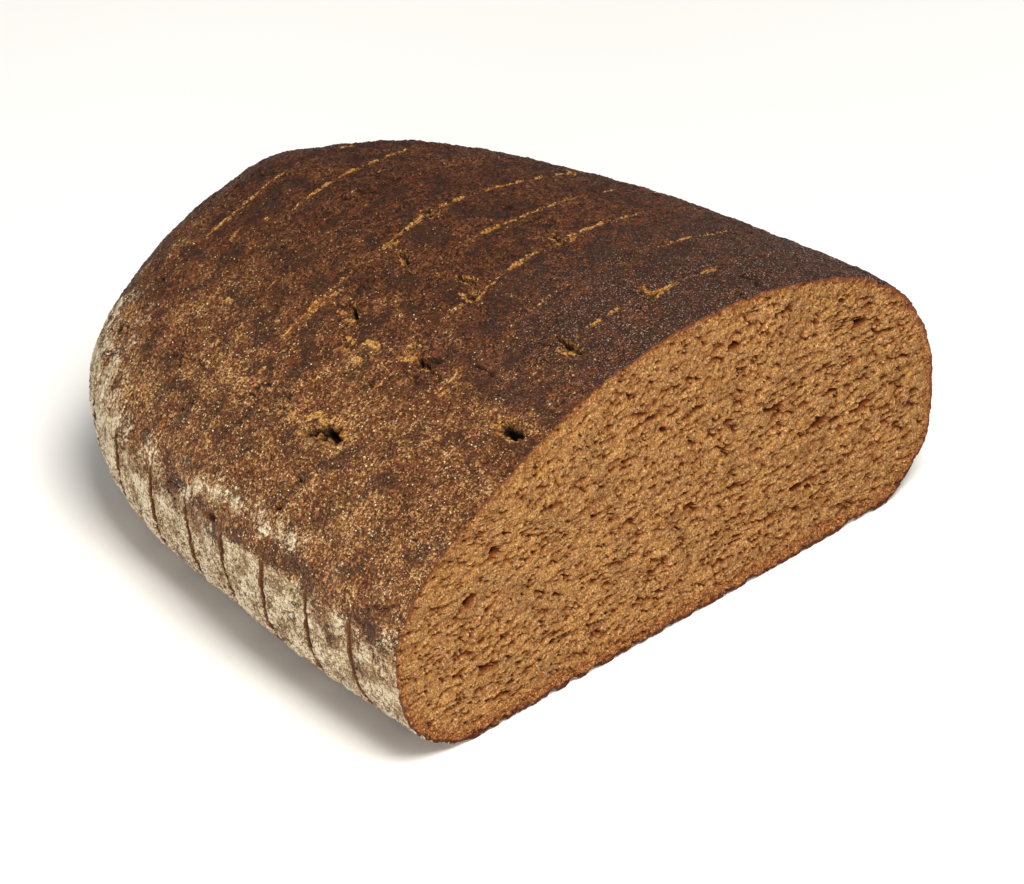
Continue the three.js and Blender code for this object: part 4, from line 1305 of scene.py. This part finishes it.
grain_share = add(tree, "ShaderNodeMath", {0: grain_draw[0], 1: grain_side}, operation="ADD")
grain_size = add(tree, "ShaderNodeMapRange", {"Value": grain_share, "From Min": 0.55, "From Max": 1.0,
                                              "To Min": 0.0, "To Max": 0.34})
grain_and_glint_mask = add(tree, "ShaderNodeMath", {0: grain_size, 1: grains}, operation="GREATER_THAN")
# The brightest grains are partly painted highlights, standing in for tiny glints.
grain_and_glint_colour = add(tree, "ShaderNodeValToRGB", {0: grain_draw[1]},
                   stops=[(0.0, "8A5A2C"), (0.4, "C0964E"), (0.75, "E6CA8A"), (1.0, "FBEFC8")])
grains_and_glints_laid = add(tree, "ShaderNodeMix", {"Factor": grain_and_glint_mask, "A": flecked, "B": grain_and_glint_colour},
             data_type="RGBA")
# Painted highlights: small pale glints laid on the twice-brushed crown.
glints = add(tree, "ShaderNodeTexNoise", {"Vector": spot, "Scale": 1 / 0.3, "Detail": 2.0})
painted_glint_here = add(tree, "ShaderNodeMapRange", {"Value": glints, "From Min": 0.605, "From Max": 0.66,
                                              "To Max": 0.8})
painted_glint_mask = add(tree, "ShaderNodeMath", {0: painted_glint_here, 1: plum_and_glint_zone}, operation="MULTIPLY")
mosaic = add(tree, "ShaderNodeMix", {"Factor": painted_glint_mask, "A": grains_and_glints_laid, "B": srgb("BCA696")},
             data_type="RGBA")
print("meal and grains ready")

# %% [markdown]
# Flour from the proofing basket clings to the flanks as a cream coat. It has dried and
# broken, so dark crust shows through it in fine upright cracks and between small flakes, a
# little more near the cut face. At its upper edge it thins out in blots and dust, where the
# crust tints it, and low down it turns greyer. The coat's edge is where a sum of slow
# and fine noise and the height up the flank passes a limit.

# %% Flour coat
flour_read = add(tree, "ShaderNodeAttribute", attribute_name="flour_reach")
flour_blot = add(tree, "ShaderNodeTexNoise", {"Vector": spot, "Scale": 1 / 4.5, "Detail": 3.0})
flour_dust = add(tree, "ShaderNodeTexNoise", {"Vector": spot, "Scale": 1 / 0.7, "Detail": 5.0,
                                              "Roughness": 0.75})
flour_lift = add(tree, "ShaderNodeMath", {0: flour_read.outputs["Fac"], 1: 2.2}, operation="MULTIPLY")
flour_a = add(tree, "ShaderNodeMath", {0: flour_blot, 1: 2.0, 2: flour_lift}, operation="MULTIPLY_ADD")
flour_b = add(tree, "ShaderNodeMath", {0: flour_dust, 1: 3.2, 2: flour_a}, operation="MULTIPLY_ADD")
flour_mask = add(tree, "ShaderNodeMapRange", {"Value": flour_b, "From Min": 3.65, "From Max": 3.85,
                                              "To Max": 0.96})
crackle_place = add(tree, "ShaderNodeVectorMath", {0: spot, 1: (1 / 0.7, 1 / 0.7, 1 / 1.1)},
                    operation="MULTIPLY")
crackle = add(tree, "ShaderNodeTexNoise", {"Vector": crackle_place, "Scale": 1.0, "Detail": 5.0,
                                           "Roughness": 0.75, "Distortion": 0.3})
broken = add(tree, "ShaderNodeTexVoronoi", {"Vector": bent, "Scale": 1 / 0.85}, feature="DISTANCE_TO_EDGE")
broken_line = add(tree, "ShaderNodeMapRange", {"Value": broken, "From Min": 0.0, "From Max": 0.12,
                                               "To Min": -0.13, "To Max": 0.02})
crackle_patch = add(tree, "ShaderNodeMath", {0: flour_blot, 1: 0.5}, operation="SUBTRACT")
crackle_part = add(tree, "ShaderNodeMath", {0: crackle_patch, 1: 0.5, 2: crackle},
                   operation="MULTIPLY_ADD")
crackle_back = add(tree, "ShaderNodeMapRange", {"Value": sides[1], "From Min": -50.0, "From Max": 35.0,
                                                "To Min": -0.02, "To Max": 0.035})
crackle_lines = add(tree, "ShaderNodeMath", {0: crackle_part, 1: broken_line}, operation="ADD")
crackle_level = add(tree, "ShaderNodeMath", {0: crackle_lines, 1: crackle_back}, operation="ADD")
flour_colour = add(tree, "ShaderNodeValToRGB", {0: crackle_level},
                   stops=[(0.34, "40261A"), (0.41, "80624A"), (0.46, "BC9E78"), (0.515, "EDD4A8"),
                          (0.60, "FFF3DA")])
greyed = laid_over(flour_colour, srgb("AA988A"), sides[2], 16.0, 3.0, most=0.3)
thinned = laid_over(greyed, srgb("CEB284"), flour_b, 4.3, 3.7, most=0.6)
coated = add(tree, "ShaderNodeMix", {"Factor": flour_mask, "A": mosaic, "B": thinned}, data_type="RGBA")
print("flour coat ready")

# %% [markdown]
# Where the crust is torn, golden crumb shows in grains. Pricks, cracks and the core of a cut
# low on a flank get painted shade: they are drawn nearly black inside. The torn measure isn't
# used as a mask by itself, because its edge would be clean: a noise is added and the sum has
# to pass a limit, so the spot breaks up into bits. Through the flour a torn cut is rusty.

# %% Torn edges and holes
torn_read = add(tree, "ShaderNodeAttribute", attribute_name="torn")
pale_read = add(tree, "ShaderNodeAttribute", attribute_name="pale")
torn_noise = add(tree, "ShaderNodeTexNoise", {"Vector": spot, "Scale": 1 / 0.5, "Detail": 4.0,
                                              "Roughness": 0.7})
torn_part = add(tree, "ShaderNodeMath", {0: torn_read.outputs["Fac"], 1: 0.85}, operation="MULTIPLY")
torn_sum = add(tree, "ShaderNodeMath", {0: torn_noise, 1: 2.2, 2: torn_part}, operation="MULTIPLY_ADD")
torn_light = add(tree, "ShaderNodeMath", {0: pale_read.outputs["Fac"], 1: 0.16, 2: torn_noise},
                 operation="MULTIPLY_ADD")
torn_colour = add(tree, "ShaderNodeValToRGB", {0: torn_light},
                  stops=[(0.40, "64300F"), (0.48, "905218"), (0.57, "BA7E36"), (0.74, "E8C684")])
torn_rust = laid_over(torn_colour, srgb("5A2C0E"), sides[2], 44.0, 32.0, most=0.85)
opened = laid_over(coated, torn_rust, torn_sum, 1.62, 1.80)
# Painted shade: pricks, cracks and the core of each low cut are drawn nearly black.
hole_read = add(tree, "ShaderNodeAttribute", attribute_name="hole")
crack_read = add(tree, "ShaderNodeAttribute", attribute_name="crack")
hole_shade_sum = add(tree, "ShaderNodeMath", {0: crack_read.outputs["Fac"], 1: 1.8,
                                        2: hole_read.outputs["Fac"]}, operation="MULTIPLY_ADD")
hole_shade_painted = laid_over(opened, srgb("140806"), hole_shade_sum, 0.5, 2.0, most=0.97)
print("torn edges ready")

# %% [markdown]
# The skin has a dull sheen from the brushed water, and single flakes that face the light
# glint. Flour has no sheen at all. The bump adds the flakes' steps to a fine grit.

# %% Gloss and bump of the crust
flake_gloss = add(tree, "ShaderNodeMapRange", {"Value": flake_draw[1], "From Min": 0.65, "From Max": 0.92,
                                               "To Min": 0.6, "To Max": 0.22})
crust_rough = add(tree, "ShaderNodeMix", {"Factor": flour_mask, "A": flake_gloss, "B": 0.9},
                  data_type="FLOAT")
grit = add(tree, "ShaderNodeTexNoise", {"Vector": spot, "Scale": 1 / 0.3, "Detail": 3.0, "Roughness": 0.8})
grit_steps = add(tree, "ShaderNodeMath", {0: flake_draw[0], 1: 0.6, 2: grit}, operation="MULTIPLY_ADD")
finish_material(tree, hole_shade_painted, crust_rough, grit_steps, depth=0.45, ior=1.5)
print("crust material:", len(tree.nodes), "nodes")

# %% [markdown]
# ## Finish the pieces
#
# The modifier's inputs are set by each socket's identifier. Then the evaluated object is
# turned into a plain mesh, so nothing live is left. Edges sharper than a limit are marked
# sharp, which keeps the cut's corner and the torn lips crisp while the rest stays smooth.

# %% Apply the relief
SHARP_ANGLE = math.radians(62)
sockets = {item.name: item.identifier for item in relief.interface.items_tree
           if item.in_out == "INPUT"}
for node, mesh in plain.items():
    piece = bpy.data.objects.new(mesh.name, mesh)
    bpy.context.scene.collection.objects.link(piece)
    modifier = piece.modifiers.new("relief", "NODES")
    modifier.node_group = relief
    for name, size in RELIEF_SIZES.items():
        modifier[sockets[name]] = size
    modifier[sockets["Crumb material"]] = crumb
    modifier[sockets["Crust material"]] = crust
    evaluated = piece.evaluated_get(bpy.context.evaluated_depsgraph_get())
    finished = bpy.data.meshes.new_from_object(evaluated)
    piece.modifiers.clear()
    piece.data = finished
    finished.shade_smooth()
    finished.set_sharp_from_angle(angle=SHARP_ANGLE)
    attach(piece, "root")
    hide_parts(node)
    print(piece.name, sum(len(p.vertices) - 2 for p in finished.polygons), "triangles")
